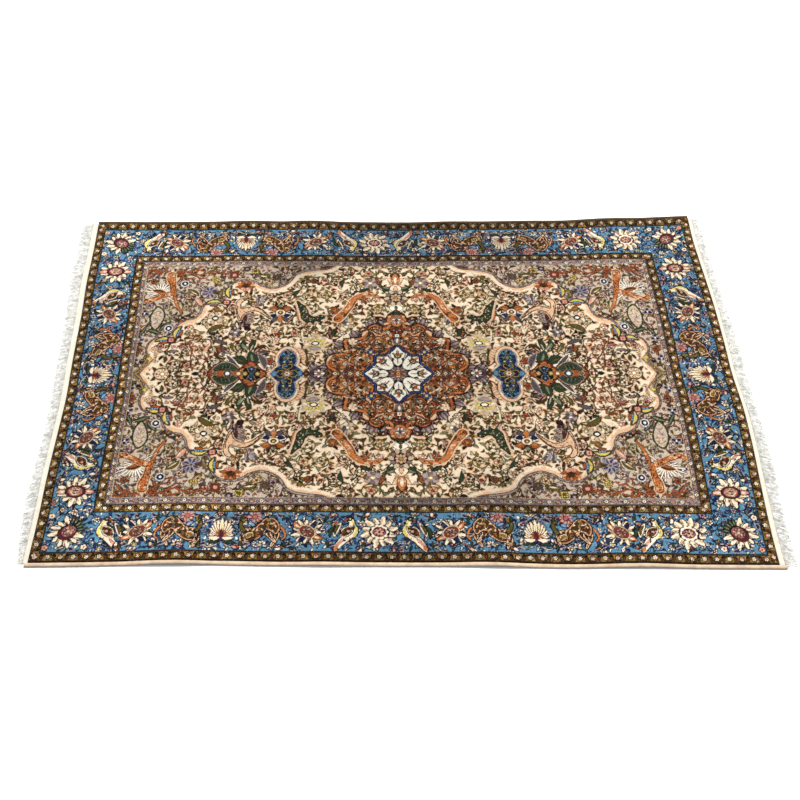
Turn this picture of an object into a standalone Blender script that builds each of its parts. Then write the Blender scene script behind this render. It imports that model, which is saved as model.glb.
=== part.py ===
"""Hand-knotted rug with a cut pile, lying flat on a floor.

Axes: X runs along the rug, Y across it, Z up. The underside rests on Z = 0 and the
origin is at the middle of the rug's footprint. Lengths are in metres.

The knotted pile body is bound along its two long sides by an overcast cord. At each
end the bare warps are first woven into a narrow flat kilim and then hang free as a
fringe. The rug has been unrolled, so a few soft ripples still cross it.
"""
import math

import bpy
import numpy as np
from mathutils import Vector

# Pile body
PILE_LENGTH = 2.10
PILE_WIDTH = 1.40
END_TAPER = 0.011  # how much each half of the width grows from the middle to the right end
PILE_THICKNESS = 0.011
EDGE_THICKNESS = 0.0075  # the sheared pile is lower at its rim
EDGE_ROUNDING = 0.006
GRID_COLUMNS = 48
GRID_ROWS = 16

# Woven ends, side cords and fringes
KILIM_THICKNESS = 0.0035
CORD_WIDTH = 0.0115
CORD_HEIGHT = 0.0085
CORD_SIDES = 8
FRINGE_TEETH = 48
FRINGE_SPINE = 0.006
FRINGE_ROOT_THICKNESS = 0.003
FRINGE_TIP_THICKNESS = 0.002
TOOTH_ROOT_SHARE = 0.62  # share of a tooth's pitch that is yarn at the root
TOOTH_TIP_SHARE = 0.42

GAP = 0.0003  # between pieces that meet
FRINGE_GAP = 0.0005  # the fringe steps across the kilim's corners in straight lines
OUTLINE_SMOOTHING = 0.05

# How far each side of the pile lies outside its straight line.
# (place along the side, outward offset)
BACK_OFFSETS = (
    (-1.05, 0.006),
    (-0.85, 0.003),
    (-0.60, 0.002),
    (-0.40, 0.001),
    (-0.20, -0.003),
    (0.00, -0.008),
    (0.25, -0.007),
    (0.45, -0.003),
    (0.60, -0.004),
    (0.75, 0.001),
    (0.90, 0.009),
    (1.05, 0.017),
)
FRONT_OFFSETS = (
    (-1.05, 0.006),
    (-0.85, 0.002),
    (-0.70, -0.003),
    (-0.55, -0.004),
    (-0.35, -0.001),
    (0.00, -0.001),
    (0.20, -0.002),
    (0.45, 0.003),
    (0.65, -0.001),
    (0.85, 0.002),
    (1.05, 0.002),
)
LEFT_OFFSETS = (
    (-0.70, 0.007),
    (-0.55, 0.002),
    (-0.40, 0.002),
    (-0.25, -0.003),
    (-0.10, -0.008),
    (0.05, -0.003),
    (0.25, -0.002),
    (0.40, 0.004),
    (0.55, 0.002),
    (0.70, 0.004),
)
RIGHT_OFFSETS = (
    (-0.70, -0.009),
    (-0.60, -0.008),
    (-0.45, -0.001),
    (-0.30, 0.008),
    (-0.15, 0.011),
    (0.00, 0.000),
    (0.10, 0.004),
    (0.30, 0.003),
    (0.45, -0.003),
    (0.60, -0.009),
    (0.70, -0.003),
)

# (place across the rug, width of the kilim)
LEFT_KILIM_WIDTHS = ((-0.70, 0.012), (-0.30, 0.012), (0.10, 0.015), (0.45, 0.018), (0.70, 0.019))
RIGHT_KILIM_WIDTHS = ((-0.70, 0.016), (-0.40, 0.013), (0.00, 0.011), (0.40, 0.013), (0.70, 0.015))

# (place across the rug, distance of the fringe's tips from the pile's straight end)
LEFT_FRINGE_REACH = (
    (-0.70, 0.034),
    (-0.60, 0.043),
    (-0.50, 0.048),
    (-0.38, 0.046),
    (-0.30, 0.040),
    (-0.15, 0.037),
    (0.00, 0.041),
    (0.12, 0.044),
    (0.28, 0.049),
    (0.42, 0.059),
    (0.55, 0.056),
    (0.70, 0.058),
)
RIGHT_FRINGE_REACH = (
    (-0.70, 0.040),
    (-0.58, 0.041),
    (-0.48, 0.045),
    (-0.36, 0.054),
    (-0.20, 0.054),
    (-0.08, 0.049),
    (0.08, 0.053),
    (0.25, 0.049),
    (0.45, 0.041),
    (0.60, 0.038),
    (0.70, 0.036),
)
# (place across the rug, how far a tip leans towards the front per unit of its length)
FRINGE_LEAN = ((-0.70, 0.35), (-0.30, 0.45), (0.10, 0.25), (0.50, 0.10), (0.70, 0.05))

# Soft ripples that cross the rug:
# (place at the front, place at the back, half width, height at the front, height at the back)
RIPPLES = (
    (-0.66, -0.52, 0.15, 0.0050, 0.0040),
    (-0.24, -0.30, 0.14, 0.0025, 0.0050),
    (0.24, 0.20, 0.15, 0.0040, 0.0030),
    (0.66, 0.74, 0.16, 0.0030, 0.0055),
)
RIPPLE_MIDDLE_SHARE = 0.45  # a ripple is lower in the middle of the rug than at its sides


def read_table(table, place):
    """Value of a (place, value) table, smoothed over a short stretch."""
    places = [row[0] for row in table]
    values = [row[1] for row in table]
    steps = np.linspace(-OUTLINE_SMOOTHING, OUTLINE_SMOOTHING, 7)
    return float(np.mean(np.interp(place + steps, places, values)))


def lift(x, y):
    """Height of the rug's underside above the floor."""
    across = np.clip(y / PILE_WIDTH + 0.5, 0.0, 1.0)
    middle_share = RIPPLE_MIDDLE_SHARE + (1.0 - RIPPLE_MIDDLE_SHARE) * (2.0 * across - 1.0) ** 2
    height = 0.0
    for front_x, back_x, half_width, front_height, back_height in RIPPLES:
        crest = front_x + (back_x - front_x) * across
        distance = min(abs(x - crest) / half_width, 1.0)
        top = front_height + (back_height - front_height) * across
        height += top * middle_share * math.cos(0.5 * math.pi * distance) ** 2
    return height


def pile_point(u, v):
    """Place in plan of a point of the pile; u and v run from -1 to 1 along and across."""
    x = u * PILE_LENGTH / 2
    y = v * (PILE_WIDTH / 2 + END_TAPER * u)
    end_offset = read_table(RIGHT_OFFSETS if u > 0 else LEFT_OFFSETS, y)
    side_offset = read_table(BACK_OFFSETS if v > 0 else FRONT_OFFSETS, x)
    return x + end_offset * u * abs(u), y + side_offset * v * abs(v)


def stations(count, length):
    """Places from -1 to 1: a narrow rim at each end and equal steps between."""
    rim = 2.0 * EDGE_ROUNDING / length
    return [-1.0] + list(np.linspace(-1.0 + rim, 1.0 - rim, count - 1)) + [1.0]


ALONG = stations(GRID_COLUMNS, PILE_LENGTH)
ACROSS = stations(GRID_ROWS, PILE_WIDTH)


def make_material(name, colour, roughness):
    """Plain cloth material."""
    material = bpy.data.materials.new(name)
    material.use_nodes = True
    shader = material.node_tree.nodes["Principled BSDF"]
    shader.inputs["Base Color"].default_value = (*colour, 1.0)
    shader.inputs["Roughness"].default_value = roughness
    shader.inputs["Metallic"].default_value = 0.0
    material.diffuse_color = (*colour, 1.0)
    return material


def make_object(name, vertices, faces, material):
    """Object from points and outward faces."""
    mesh = bpy.data.meshes.new(name)
    mesh.from_pydata(vertices, [], faces)
    mesh.materials.append(material)
    mesh.update()
    piece = bpy.data.objects.new(name, mesh)
    bpy.context.collection.objects.link(piece)
    return piece


def make_slab(name, plan, faces, top, bottom, material):
    """Closed solid between two heights over a flat mesh whose faces turn anticlockwise."""
    count = len(plan)
    vertices = [(x, y, z) for (x, y), z in zip(plan, top)]
    vertices += [(x, y, z) for (x, y), z in zip(plan, bottom)]
    edges = {(a, b) for face in faces for a, b in zip(face, face[1:] + face[:1])}
    rim = sorted((a, b) for a, b in edges if (b, a) not in edges)
    under = [tuple(index + count for index in reversed(face)) for face in faces]
    walls = [(b, a, a + count, b + count) for a, b in rim]
    return make_object(name, vertices, faces + under + walls, material)


def grid_faces(columns, rows):
    """Quads of a grid whose points are listed row by row."""
    faces = []
    for row in range(rows):
        for column in range(columns):
            corner = row * (columns + 1) + column
            faces.append((corner, corner + 1, corner + columns + 2, corner + columns + 1))
    return faces


def make_pile(material):
    """Knotted body: an even thickness that follows the ripples and thins at its rim."""
    plan = [pile_point(u, v) for v in ACROSS for u in ALONG]
    inner = [abs(u) < 1.0 and abs(v) < 1.0 for v in ACROSS for u in ALONG]
    bottom = [lift(x, y) for x, y in plan]
    top = [z + (PILE_THICKNESS if is_inner else EDGE_THICKNESS)
           for z, is_inner in zip(bottom, inner)]
    return make_slab("pile", plan, grid_faces(GRID_COLUMNS, GRID_ROWS), top, bottom, material)


def kilim_lines(side):
    """Inner and outer line of the kilim at one end; side is -1 for left, 1 for right."""
    widths = RIGHT_KILIM_WIDTHS if side > 0 else LEFT_KILIM_WIDTHS
    inner = [pile_point(side, v) for v in ACROSS]
    inner = [(x + side * GAP, y) for x, y in inner]
    outer = [(x + side * read_table(widths, y), y) for x, y in inner]
    return inner, outer


def make_kilim(side, name, material):
    """Flat-woven strip that finishes one end."""
    inner, outer = kilim_lines(side)
    left, right = (outer, inner) if side < 0 else (inner, outer)
    plan = [point for pair in zip(left, right) for point in pair]
    top = [KILIM_THICKNESS] * len(plan)
    bottom = [0.0] * len(plan)
    return make_slab(name, plan, grid_faces(1, GRID_ROWS), top, bottom, material)


def fringe_stations(front, back):
    """Sides of the teeth from front to back, so that yarn and space take turns."""
    pitch = (back - front) / (FRINGE_TEETH - 1 + TOOTH_ROOT_SHARE)
    places = []
    for tooth in range(FRINGE_TEETH):
        start = front + tooth * pitch
        places += [start, start + TOOTH_ROOT_SHARE * pitch]
    return places, pitch


def make_fringe(side, name, material):
    """One comb: a spine along the kilim and a tooth for each bunch of warps."""
    outer = kilim_lines(side)[1]
    kilim_y = [y for _, y in outer]
    kilim_x = [x for x, _ in outer]
    reach = RIGHT_FRINGE_REACH if side > 0 else LEFT_FRINGE_REACH
    places, pitch = fringe_stations(kilim_y[0], kilim_y[-1])
    roots = [float(np.interp(y, kilim_y, kilim_x)) + side * FRINGE_GAP for y in places]
    plan = [(x, y) for x, y in zip(roots, places)]
    plan += [(x + side * FRINGE_SPINE, y) for x, y in plan]
    top = [FRINGE_ROOT_THICKNESS] * len(plan)
    spine = len(places)
    faces = [(i, i + spine, i + spine + 1, i + 1) for i in range(spine - 1)]
    for tooth in range(FRINGE_TEETH):
        low = spine + 2 * tooth
        middle = 0.5 * (places[2 * tooth] + places[2 * tooth + 1])
        tip_x = side * (PILE_LENGTH / 2 + read_table(reach, middle))
        tip_y = middle - read_table(FRINGE_LEAN, middle) * abs(tip_x - plan[low][0])
        half_tip = 0.5 * TOOTH_TIP_SHARE * pitch
        tip = len(plan)
        plan += [(tip_x, tip_y - half_tip), (tip_x, tip_y + half_tip)]
        top += [FRINGE_TIP_THICKNESS] * 2
        faces.append((low, tip, tip + 1, low + 1))
    if side < 0:
        faces = [tuple(reversed(face)) for face in faces]
    bottom = [0.0] * len(plan)
    return make_slab(name, plan, faces, top, bottom, material)


def cord_line(side):
    """Middle line of the cord along one long side, run on past the kilims."""
    reach = GAP + CORD_WIDTH / 2
    line = [pile_point(u, side) for u in ALONG]
    corner = 0 if side < 0 else -1
    first = (kilim_lines(-1)[1][corner][0], line[0][1])
    last = (kilim_lines(1)[1][corner][0], line[-1][1])
    return [(x, y + side * reach) for x, y in [first] + line + [last]]


def make_cord(side, name, material):
    """Overcast edge cord: an oval with a flat underside that follows the ripples."""
    flat = math.cos(math.pi / CORD_SIDES)
    vertices = []
    line = cord_line(side)
    for x, y in line:
        base = lift(x, side * PILE_WIDTH / 2)
        for corner in range(CORD_SIDES):
            angle = 2.0 * math.pi * (corner + 0.5) / CORD_SIDES
            across = CORD_WIDTH / 2 * math.cos(angle) / flat
            height = CORD_HEIGHT / 2 * (1.0 + math.sin(angle) / flat)
            vertices.append((x, y + across, base + height))
    faces = []
    for start in range(0, (len(line) - 1) * CORD_SIDES, CORD_SIDES):
        for corner in range(CORD_SIDES):
            following = (corner + 1) % CORD_SIDES
            faces.append((start + corner, start + following,
                          start + CORD_SIDES + following, start + CORD_SIDES + corner))
    last = (len(line) - 1) * CORD_SIDES
    faces.append(tuple(reversed(range(CORD_SIDES))))
    faces.append(tuple(range(last, last + CORD_SIDES)))
    piece = make_object(name, vertices, faces, material)
    piece.data.shade_smooth()
    piece.data.set_sharp_from_angle(angle=math.radians(50.0))
    return piece


def centre_on_origin(pieces):
    """Hangs the pieces on one empty that brings the middle of the footprint to the origin."""
    corners = [vertex.co for piece in pieces for vertex in piece.data.vertices]
    middle_x = (min(c.x for c in corners) + max(c.x for c in corners)) / 2
    middle_y = (min(c.y for c in corners) + max(c.y for c in corners)) / 2
    rug = bpy.data.objects.new("rug", None)
    rug.location = Vector((-middle_x, -middle_y, 0.0))
    bpy.context.collection.objects.link(rug)
    for piece in pieces:
        piece.parent = rug


def main():
    for old in list(bpy.data.objects):
        bpy.data.objects.remove(old, do_unlink=True)
    pile_wool = make_material("pile_wool", (0.30, 0.25, 0.20), 0.95)
    kilim_cotton = make_material("kilim_cotton", (0.86, 0.76, 0.58), 0.92)
    fringe_cotton = make_material("fringe_cotton", (0.80, 0.79, 0.74), 0.94)
    cord_wool = make_material("cord_wool", (0.72, 0.62, 0.44), 0.93)
    pieces = [
        make_pile(pile_wool),
        make_kilim(-1, "kilim_left", kilim_cotton),
        make_kilim(1, "kilim_right", kilim_cotton),
        make_fringe(-1, "fringe_left", fringe_cotton),
        make_fringe(1, "fringe_right", fringe_cotton),
        make_cord(-1, "selvedge_front", cord_wool),
        make_cord(1, "selvedge_back", cord_wool),
    ]
    centre_on_origin(pieces)


main()
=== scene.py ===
"""Looks of a hand-knotted pile rug: its knots, woven ends, fringes and side cords.

Lengths are in metres in the frame's axes: X along the rug, Y across it, Z up. The knots'
design is painted on a canvas of dyes, in millimetres from the middle of the rug.
"""
import math

import bpy
import numpy as np
from mathutils import Matrix, Vector


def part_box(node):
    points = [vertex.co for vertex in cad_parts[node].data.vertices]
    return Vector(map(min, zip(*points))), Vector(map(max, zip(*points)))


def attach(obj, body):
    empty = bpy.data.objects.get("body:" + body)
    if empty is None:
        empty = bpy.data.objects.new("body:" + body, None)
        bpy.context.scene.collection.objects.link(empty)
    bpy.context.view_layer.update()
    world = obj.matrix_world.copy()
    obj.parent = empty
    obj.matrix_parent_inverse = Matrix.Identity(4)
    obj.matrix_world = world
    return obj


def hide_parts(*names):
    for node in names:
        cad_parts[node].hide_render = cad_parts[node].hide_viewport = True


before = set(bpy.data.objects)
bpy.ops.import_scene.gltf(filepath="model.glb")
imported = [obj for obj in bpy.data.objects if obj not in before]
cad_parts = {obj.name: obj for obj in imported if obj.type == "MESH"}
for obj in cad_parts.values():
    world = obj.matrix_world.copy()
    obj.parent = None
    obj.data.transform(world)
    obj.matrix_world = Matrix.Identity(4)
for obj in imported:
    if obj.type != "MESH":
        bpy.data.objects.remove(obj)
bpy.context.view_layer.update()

# ---------------------------------------------------------------- sizes of the rug
PILE_LENGTH = 2.10
PILE_WIDTH = 1.40
END_TAPER = 0.011
PILE_THICKNESS = 0.011
EDGE_THICKNESS = 0.0075
EDGE_ROUNDING = 0.006
CAD_COLUMNS = 48
CAD_ROWS = 16
KILIM_THICKNESS = 0.0035
CORD_WIDTH = 0.0115
CORD_HEIGHT = 0.0085
GAP = 0.0003
OUTLINE_SMOOTHING = 0.05

# How far each side of the pile lies outside its straight line: (place along the side, outward offset).
# The frame's part has a right end up to 5 mm and kilims up to 8 mm narrower than here.
BACK_OFFSETS = (
    (-1.05, 0.006), (-0.85, 0.003), (-0.60, 0.002), (-0.40, 0.001), (-0.20, -0.003), (0.00, -0.008),
    (0.25, -0.007), (0.45, -0.003), (0.60, -0.004), (0.75, 0.001), (0.90, 0.009), (1.05, 0.017),
)
FRONT_OFFSETS = (
    (-1.05, 0.006), (-0.85, 0.002), (-0.70, -0.003), (-0.55, -0.004), (-0.35, -0.001), (0.00, -0.001),
    (0.20, -0.002), (0.45, 0.003), (0.65, -0.001), (0.85, 0.002), (1.05, 0.002),
)
LEFT_OFFSETS = (
    (-0.70, 0.007), (-0.55, 0.002), (-0.40, 0.002), (-0.25, -0.003), (-0.10, -0.008),
    (0.05, -0.003), (0.25, -0.002), (0.40, 0.004), (0.55, 0.002), (0.70, 0.004),
)
RIGHT_OFFSETS = (
    (-0.70, -0.009), (-0.60, -0.008), (-0.45, -0.001), (-0.30, 0.008), (-0.15, 0.012), (0.00, 0.004),
    (0.10, 0.008), (0.30, 0.008), (0.45, 0.002), (0.60, -0.004), (0.70, 0.000),
)
# (place across the rug, width of the kilim)
LEFT_KILIM_WIDTHS = ((-0.70, 0.018), (-0.30, 0.020), (0.10, 0.021), (0.45, 0.023), (0.70, 0.022))
RIGHT_KILIM_WIDTHS = ((-0.70, 0.021), (-0.40, 0.018), (0.00, 0.016), (0.40, 0.017), (0.70, 0.018))
# (place across the rug, distance of the fringe's tips from the pile's straight end)
LEFT_FRINGE_REACH = (
    (-0.70, 0.034), (-0.60, 0.043), (-0.50, 0.048), (-0.38, 0.046), (-0.30, 0.040), (-0.15, 0.037),
    (0.00, 0.041), (0.12, 0.044), (0.28, 0.049), (0.42, 0.059), (0.55, 0.056), (0.70, 0.058),
)
RIGHT_FRINGE_REACH = (
    (-0.70, 0.040), (-0.58, 0.041), (-0.48, 0.045), (-0.36, 0.054), (-0.20, 0.054), (-0.08, 0.049),
    (0.08, 0.053), (0.25, 0.049), (0.45, 0.041), (0.60, 0.038), (0.70, 0.036),
)
# (place across the rug, how far a tip leans towards the front per unit of its length)
FRINGE_LEAN = ((-0.70, 0.35), (-0.30, 0.45), (0.10, 0.25), (0.50, 0.10), (0.70, 0.05))
# (place at the front, place at the back, half width, height at the front, height at the back)
RIPPLES = (
    (-0.66, -0.52, 0.15, 0.0050, 0.0040),
    (-0.24, -0.30, 0.14, 0.0025, 0.0050),
    (0.24, 0.20, 0.15, 0.0040, 0.0030),
    (0.66, 0.74, 0.16, 0.0030, 0.0055),
)
RIPPLE_MIDDLE_SHARE = 0.45

# ---------------------------------------------------------------- sizes of the looks
TILE_COLUMNS, TILE_ROWS = 4, 3
QUADS_ALONG, QUADS_ACROSS = 768, 510  # each quad carries two by two knots
KNOTS_ALONG, KNOTS_ACROSS = 2 * QUADS_ALONG, 2 * QUADS_ACROSS
BODY_THICKNESS = 0.003  # the knotted foundation under the pile
PILE_NOISE = 0.00028
UNDERSIDE_CELLS = (210, 140)
KILIM_STEPS = 420
KILIM_EDGE_WAVE = 0.0008
# (place across the kilim, share of its thickness there)
KILIM_PROFILE = (
    (0.0, 0.30), (0.04, 0.94), (0.25, 1.0), (0.5, 0.97), (0.75, 1.0), (0.93, 0.86), (1.0, 0.25),
)
TASSELS = 155
STRANDS = 7
STRAND_STEPS = 5
FRINGE_ROOT = 0.0045  # how far each strand reaches back over the kilim
STRAND_RADIUS = 0.00072
STRAND_SIDES = (90.0, 210.0, 330.0)  # degrees round the yarn
STRAND_HEIGHT = 0.0011  # of a strand's middle above the floor, at its tip
STRAND_RISE = 0.0026  # the most a strand lifts between its root and its tip
TASSEL_SPREAD = 1.05  # width of a bunch at its root, as a share of the bunches' pitch
CORD_STEPS = 620
CORD_SIDES = 10
CORD_INSET = 0.009  # the front cord's left end stays this far inside the kilim's edge
CORD_GROOVE = 0.16  # depth of the groove between its two bundles, as a share of its height
KNOT_TONE, ROW_TONE, CLOUD_TONE = 0.07, 0.05, 0.06  # unevenness of dye by knot, row and cloud
MOTTLE_SHARE, FRAY_SHARE = 0.14, 0.14  # of the knots
UNDERSIDE_LENGTH_SHARE, UNDERSIDE_WIDTH_SHARE = 0.9995, 0.9993  # keeps it just inside the pile's rim
FOUNDATION_COTTON = (176, 150, 112)
# painted shade: the sides of the pile blocks are darker than their tops
WALL_SHADE = 0.8

# Seeds of the random draws
KNOT_SEED, PILE_SEED = 5, 31
KILIM_SEED, CORD_SEED, FRINGE_SEED = 40, 50, 60
GUARD_SEED, STRIPE_SEED = 17, 18
BORDER_SCROLL_SEED, BORDER_SPRIG_SEED, BORDER_LEAF_SEED = 71, 74, 75
BORDER_HALO_SEED, BORDER_LINE_SEED = 72, 73
FIELD_SEED, SPANDREL_SEED, MEDALLION_SEED = 75, 76, 77
CREAM_SEED, STONE_SEED, ORANGE_SEED = 81, 82, 83
EDGE_HALO_SEED, EDGE_WEAR_SEED = 86, 87
MOTTLE_SEED, FRAY_SEED, REDDER_HALF_SEED = 91, 92, 94


# ---------------------------------------------------------------- dyes
DYES = {
    "blue": (84, 128, 154),
    "sky": (120, 158, 186),
    "teal": (40, 78, 94),
    "navy": (24, 28, 58),
    "violet": (86, 84, 122),
    "rust": (160, 82, 44),
    "orange": (192, 110, 56),
    "brick": (118, 50, 34),
    "wine": (70, 34, 40),
    "mauve": (128, 102, 98),
    "lilac": (166, 150, 150),
    "slate": (84, 76, 78),
    "cream": (242, 222, 192),
    "ivory": (252, 244, 226),
    "peach": (232, 186, 146),
    "sand": (200, 178, 146),
    "yellow": (214, 194, 92),
    "gold": (164, 132, 66),
    "bronze": (122, 98, 42),
    "olive": (88, 76, 32),
    "brown": (66, 42, 24),
    "dark": (20, 13, 8),
    "green": (40, 56, 34),
    "sage": (116, 124, 94),
    "pink": (206, 146, 126),
    "rose": (164, 92, 88),
    "stone": (200, 180, 162),
    "royal": (38, 60, 116),
}
DYE_NAMES = list(DYES)
NUMBER = {name: number for number, name in enumerate(DYE_NAMES)}


# ---------------------------------------------------------------- canvas and pen
# The widths of rims round motifs are multiplied by these
RIM_SCALE = 1.45
BORDER_RIM_SCALE = 1.9


class Canvas:
    """Dyes of the knots as numbers; x runs right and y runs away, in millimetres."""

    def __init__(self, x, y, dye):
        self.x = x
        self.y = y
        self.dye = dye


def knot_places(count, length):
    """Middles of the knots of a row, measured from the row's middle."""
    return ((np.arange(count) + 0.5) / count - 0.5) * length


class Pen:
    """Paints a motif in the motif's own axes, p to its right and q up it."""

    def __init__(self, canvas, x, y, turn=0.0, size=1.0, flip=1, reach=70.0):
        reach = reach * size
        columns = slice(*np.searchsorted(canvas.x, (x - reach, x + reach)))
        rows = slice(*np.searchsorted(canvas.y, (y - reach, y + reach)))
        self.view = canvas.dye[rows, columns]
        right = canvas.x[None, columns] - x
        up = canvas.y[rows, None] - y
        turn = math.radians(turn)
        self.p = flip * (right * math.cos(turn) + up * math.sin(turn)) / size
        self.q = (up * math.cos(turn) - right * math.sin(turn)) / size
        self.size = size
        self.rim_scale = RIM_SCALE

    def fill(self, distance, dye, rim=None, rim_width=1.6):
        """Paints where the distance to a shape is below zero, and a rim round it."""
        if rim is not None:
            self.view[distance * self.size < self.rim_scale * rim_width] = NUMBER[rim]
        self.view[distance < 0] = NUMBER[dye]


def oval(pen, x, y, half_p, half_q, turn=0.0):
    """Distance to an ellipse, roughly in millimetres."""
    c = math.cos(math.radians(turn))
    s = math.sin(math.radians(turn))
    along = (pen.p - x) * c + (pen.q - y) * s
    across = (pen.q - y) * c - (pen.p - x) * s
    return (np.hypot(along / half_p, across / half_q) - 1.0) * min(half_p, half_q)


def leaf(pen, start, end, width, bend=0.0, blunt=0.8):
    """Distance to a pointed leaf between two points; bend moves its middle sideways."""
    run = (end[0] - start[0], end[1] - start[1])
    length = math.hypot(*run)
    ux, uy = run[0] / length, run[1] / length
    along = ((pen.p - start[0]) * ux + (pen.q - start[1]) * uy) / length
    across = (pen.q - start[1]) * ux - (pen.p - start[0]) * uy
    t = np.clip(along, 0.0, 1.0)
    half = 0.5 * width * np.sin(math.pi * t) ** blunt
    beyond = (along - t) * length
    return np.hypot(np.abs(across - bend * 4.0 * t * (1.0 - t)), beyond) - half


def curve(points, steps=8, closed=False):
    """Smooth line through points."""
    points = np.asarray(points, float)
    count = len(points)
    if closed:
        order = [points[i % count] for i in range(-1, count + 2)]
    else:
        order = [2 * points[0] - points[1], *points, 2 * points[-1] - points[-2]]
    out = []
    for a, b, c, d in zip(order, order[1:], order[2:], order[3:]):
        for t in np.arange(steps) / steps:
            out.append(0.5 * (2 * b + (c - a) * t + (2 * a - 5 * b + 4 * c - d) * t * t
                              + (3 * b - a - 3 * c + d) * t ** 3))
    if not closed:
        out.append(points[-1])
    return np.array(out)


def line(pen, points, start_width, end_width=None, smooth=True):
    """Distance to a line whose width changes evenly from its start to its end."""
    end_width = start_width if end_width is None else end_width
    points = curve(points, 5) if smooth else np.asarray(points, float)
    best = np.full(np.broadcast(pen.p, pen.q).shape, 1e9)
    count = len(points) - 1
    for i in range(count):
        a, b = points[i], points[i + 1]
        run = b - a
        square = max(float(run @ run), 1e-9)
        t = np.clip(((pen.p - a[0]) * run[0] + (pen.q - a[1]) * run[1]) / square, 0.0, 1.0)
        gap = np.hypot(pen.p - a[0] - t * run[0], pen.q - a[1] - t * run[1])
        width = start_width + (end_width - start_width) * (i + t) / count
        best = np.minimum(best, gap - 0.5 * width)
    return best


def blob(pen, points, smooth=True):
    """Distance to the inside of a closed outline, below zero inside."""
    points = curve(points, 5, closed=True) if smooth else np.asarray(points, float)
    best = np.full(np.broadcast(pen.p, pen.q).shape, 1e9)
    inside = np.zeros(best.shape, bool)
    for a, b in zip(points, np.roll(points, -1, axis=0)):
        run = b - a
        square = max(float(run @ run), 1e-9)
        t = np.clip(((pen.p - a[0]) * run[0] + (pen.q - a[1]) * run[1]) / square, 0.0, 1.0)
        best = np.minimum(best, np.hypot(pen.p - a[0] - t * run[0], pen.q - a[1] - t * run[1]))
        if a[1] != b[1]:
            level = (pen.q >= min(a[1], b[1])) & (pen.q < max(a[1], b[1]))
            cross = a[0] + (pen.q - a[1]) * run[0] / run[1]
            inside ^= level & (pen.p < cross)
    return np.where(inside, -best, best)


def rosette(pen, x, y, radius, petals, notch=0.25, turn=0.0):
    """Distance to a flower with round petals."""
    angle = np.arctan2(pen.q - y, pen.p - x) - math.radians(turn)
    edge = radius * (1.0 - notch + notch * np.abs(np.cos(0.5 * petals * angle)) ** 0.7)
    return np.hypot(pen.p - x, pen.q - y) - edge


# ---------------------------------------------------------------- layout of the drawing
MILLIMETRES = 1000.0
HALF_LENGTH, HALF_WIDTH = MILLIMETRES * PILE_LENGTH / 2, MILLIMETRES * PILE_WIDTH / 2

# Border bands from the rim inwards: (name, depth at the left, right, front and back) in millimetres
BANDS = (
    ("outer_guard", 29.0, 29.0, 29.0, 39.0),
    ("main", 155.0, 162.0, 163.0, 172.0),
    ("inner_guard", 182.0, 190.0, 190.0, 199.0),
    ("stripe", 199.0, 206.0, 214.0, 223.0),
)
GUARD_PITCH = 35.3
STRIPE_PITCH = 55.6


def polar(radius, angle):
    """Point at a distance and an angle in degrees from the middle."""
    return radius * math.cos(math.radians(angle)), radius * math.sin(math.radians(angle))


# ------------------------------------------------------------ small motifs
def small_flower(pen, x, y, radius=9.0, petal="cream", heart="rust", petals=5, turn=0.0, rim="dark"):
    """Flat flower with a round heart."""
    pen.fill(rosette(pen, x, y, radius, petals, 0.38, turn), petal, rim, 1.4)
    pen.fill(oval(pen, x, y, 0.36 * radius, 0.36 * radius), heart)


def bud(pen, x, y, turn=0.0, length=13.0, petal="ivory", cup="green"):
    """Closed flower that stands in a cup."""
    dx, dy = polar(length, turn)
    pen.fill(leaf(pen, (x - 0.45 * dx, y - 0.45 * dy), (x + 0.5 * dx, y + 0.5 * dy), 0.62 * length), cup)
    pen.fill(leaf(pen, (x, y), (x + dx, y + dy), 0.55 * length), petal)


def vine(pen, points, dye, width, leaf_dye, every, length):
    """Curving stem with a leaf on alternate sides."""
    path = curve(points, 6)
    pen.fill(line(pen, points, width, 0.7 * width), dye)
    steps = np.hypot(*np.diff(path, axis=0).T)
    travelled = np.concatenate([[0.0], np.cumsum(steps)])
    side = 1
    for place in np.arange(0.6 * every, travelled[-1], every):
        i = int(np.searchsorted(travelled, place)) - 1
        run = path[i + 1] - path[i]
        heading = math.degrees(math.atan2(run[1], run[0]))
        dx, dy = polar(length, heading + 48 * side)
        x, y = path[i]
        pen.fill(leaf(pen, (x, y), (x + dx, y + dy), 0.42 * length, 0.12 * length * side), leaf_dye)
        side = -side


def spiral(x, y, radius, start, turns, hand=1, end_share=0.25):
    """Points of a scroll that winds inwards."""
    out = []
    count = int(8 * turns) + 2
    for i in range(count):
        share = i / (count - 1)
        dx, dy = polar(radius * (1 - (1 - end_share) * share), start + hand * 360 * turns * share)
        out.append((x + dx, y + dy))
    return out


def petal_ring(pen, x, y, count, inner, outer, width, dye, rim="brown", start=0.0, second=None):
    """Ring of petals, every other one longer and in a second dye if there is one."""
    for i in range(count):
        angle = start + 360.0 * i / count
        reach = outer * (1.0 if i % 2 else 0.86)
        foot, tip = polar(inner, angle), polar(reach, angle + 5)
        shape = leaf(pen, (x + foot[0], y + foot[1]), (x + tip[0], y + tip[1]), width, 0, 0.62)
        pen.fill(shape, second if second and i % 2 else dye, rim, 1.5)


def comma(pen, x, y, turn, length, dye, rim="dark", bend=0.2, plump=0.46, rim_width=1.3):
    """Curved leaf with its foot at x, y."""
    dx, dy = polar(length, turn)
    pen.fill(leaf(pen, (x, y), (x + dx, y + dy), plump * length, bend * length), dye, rim, rim_width)


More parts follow.
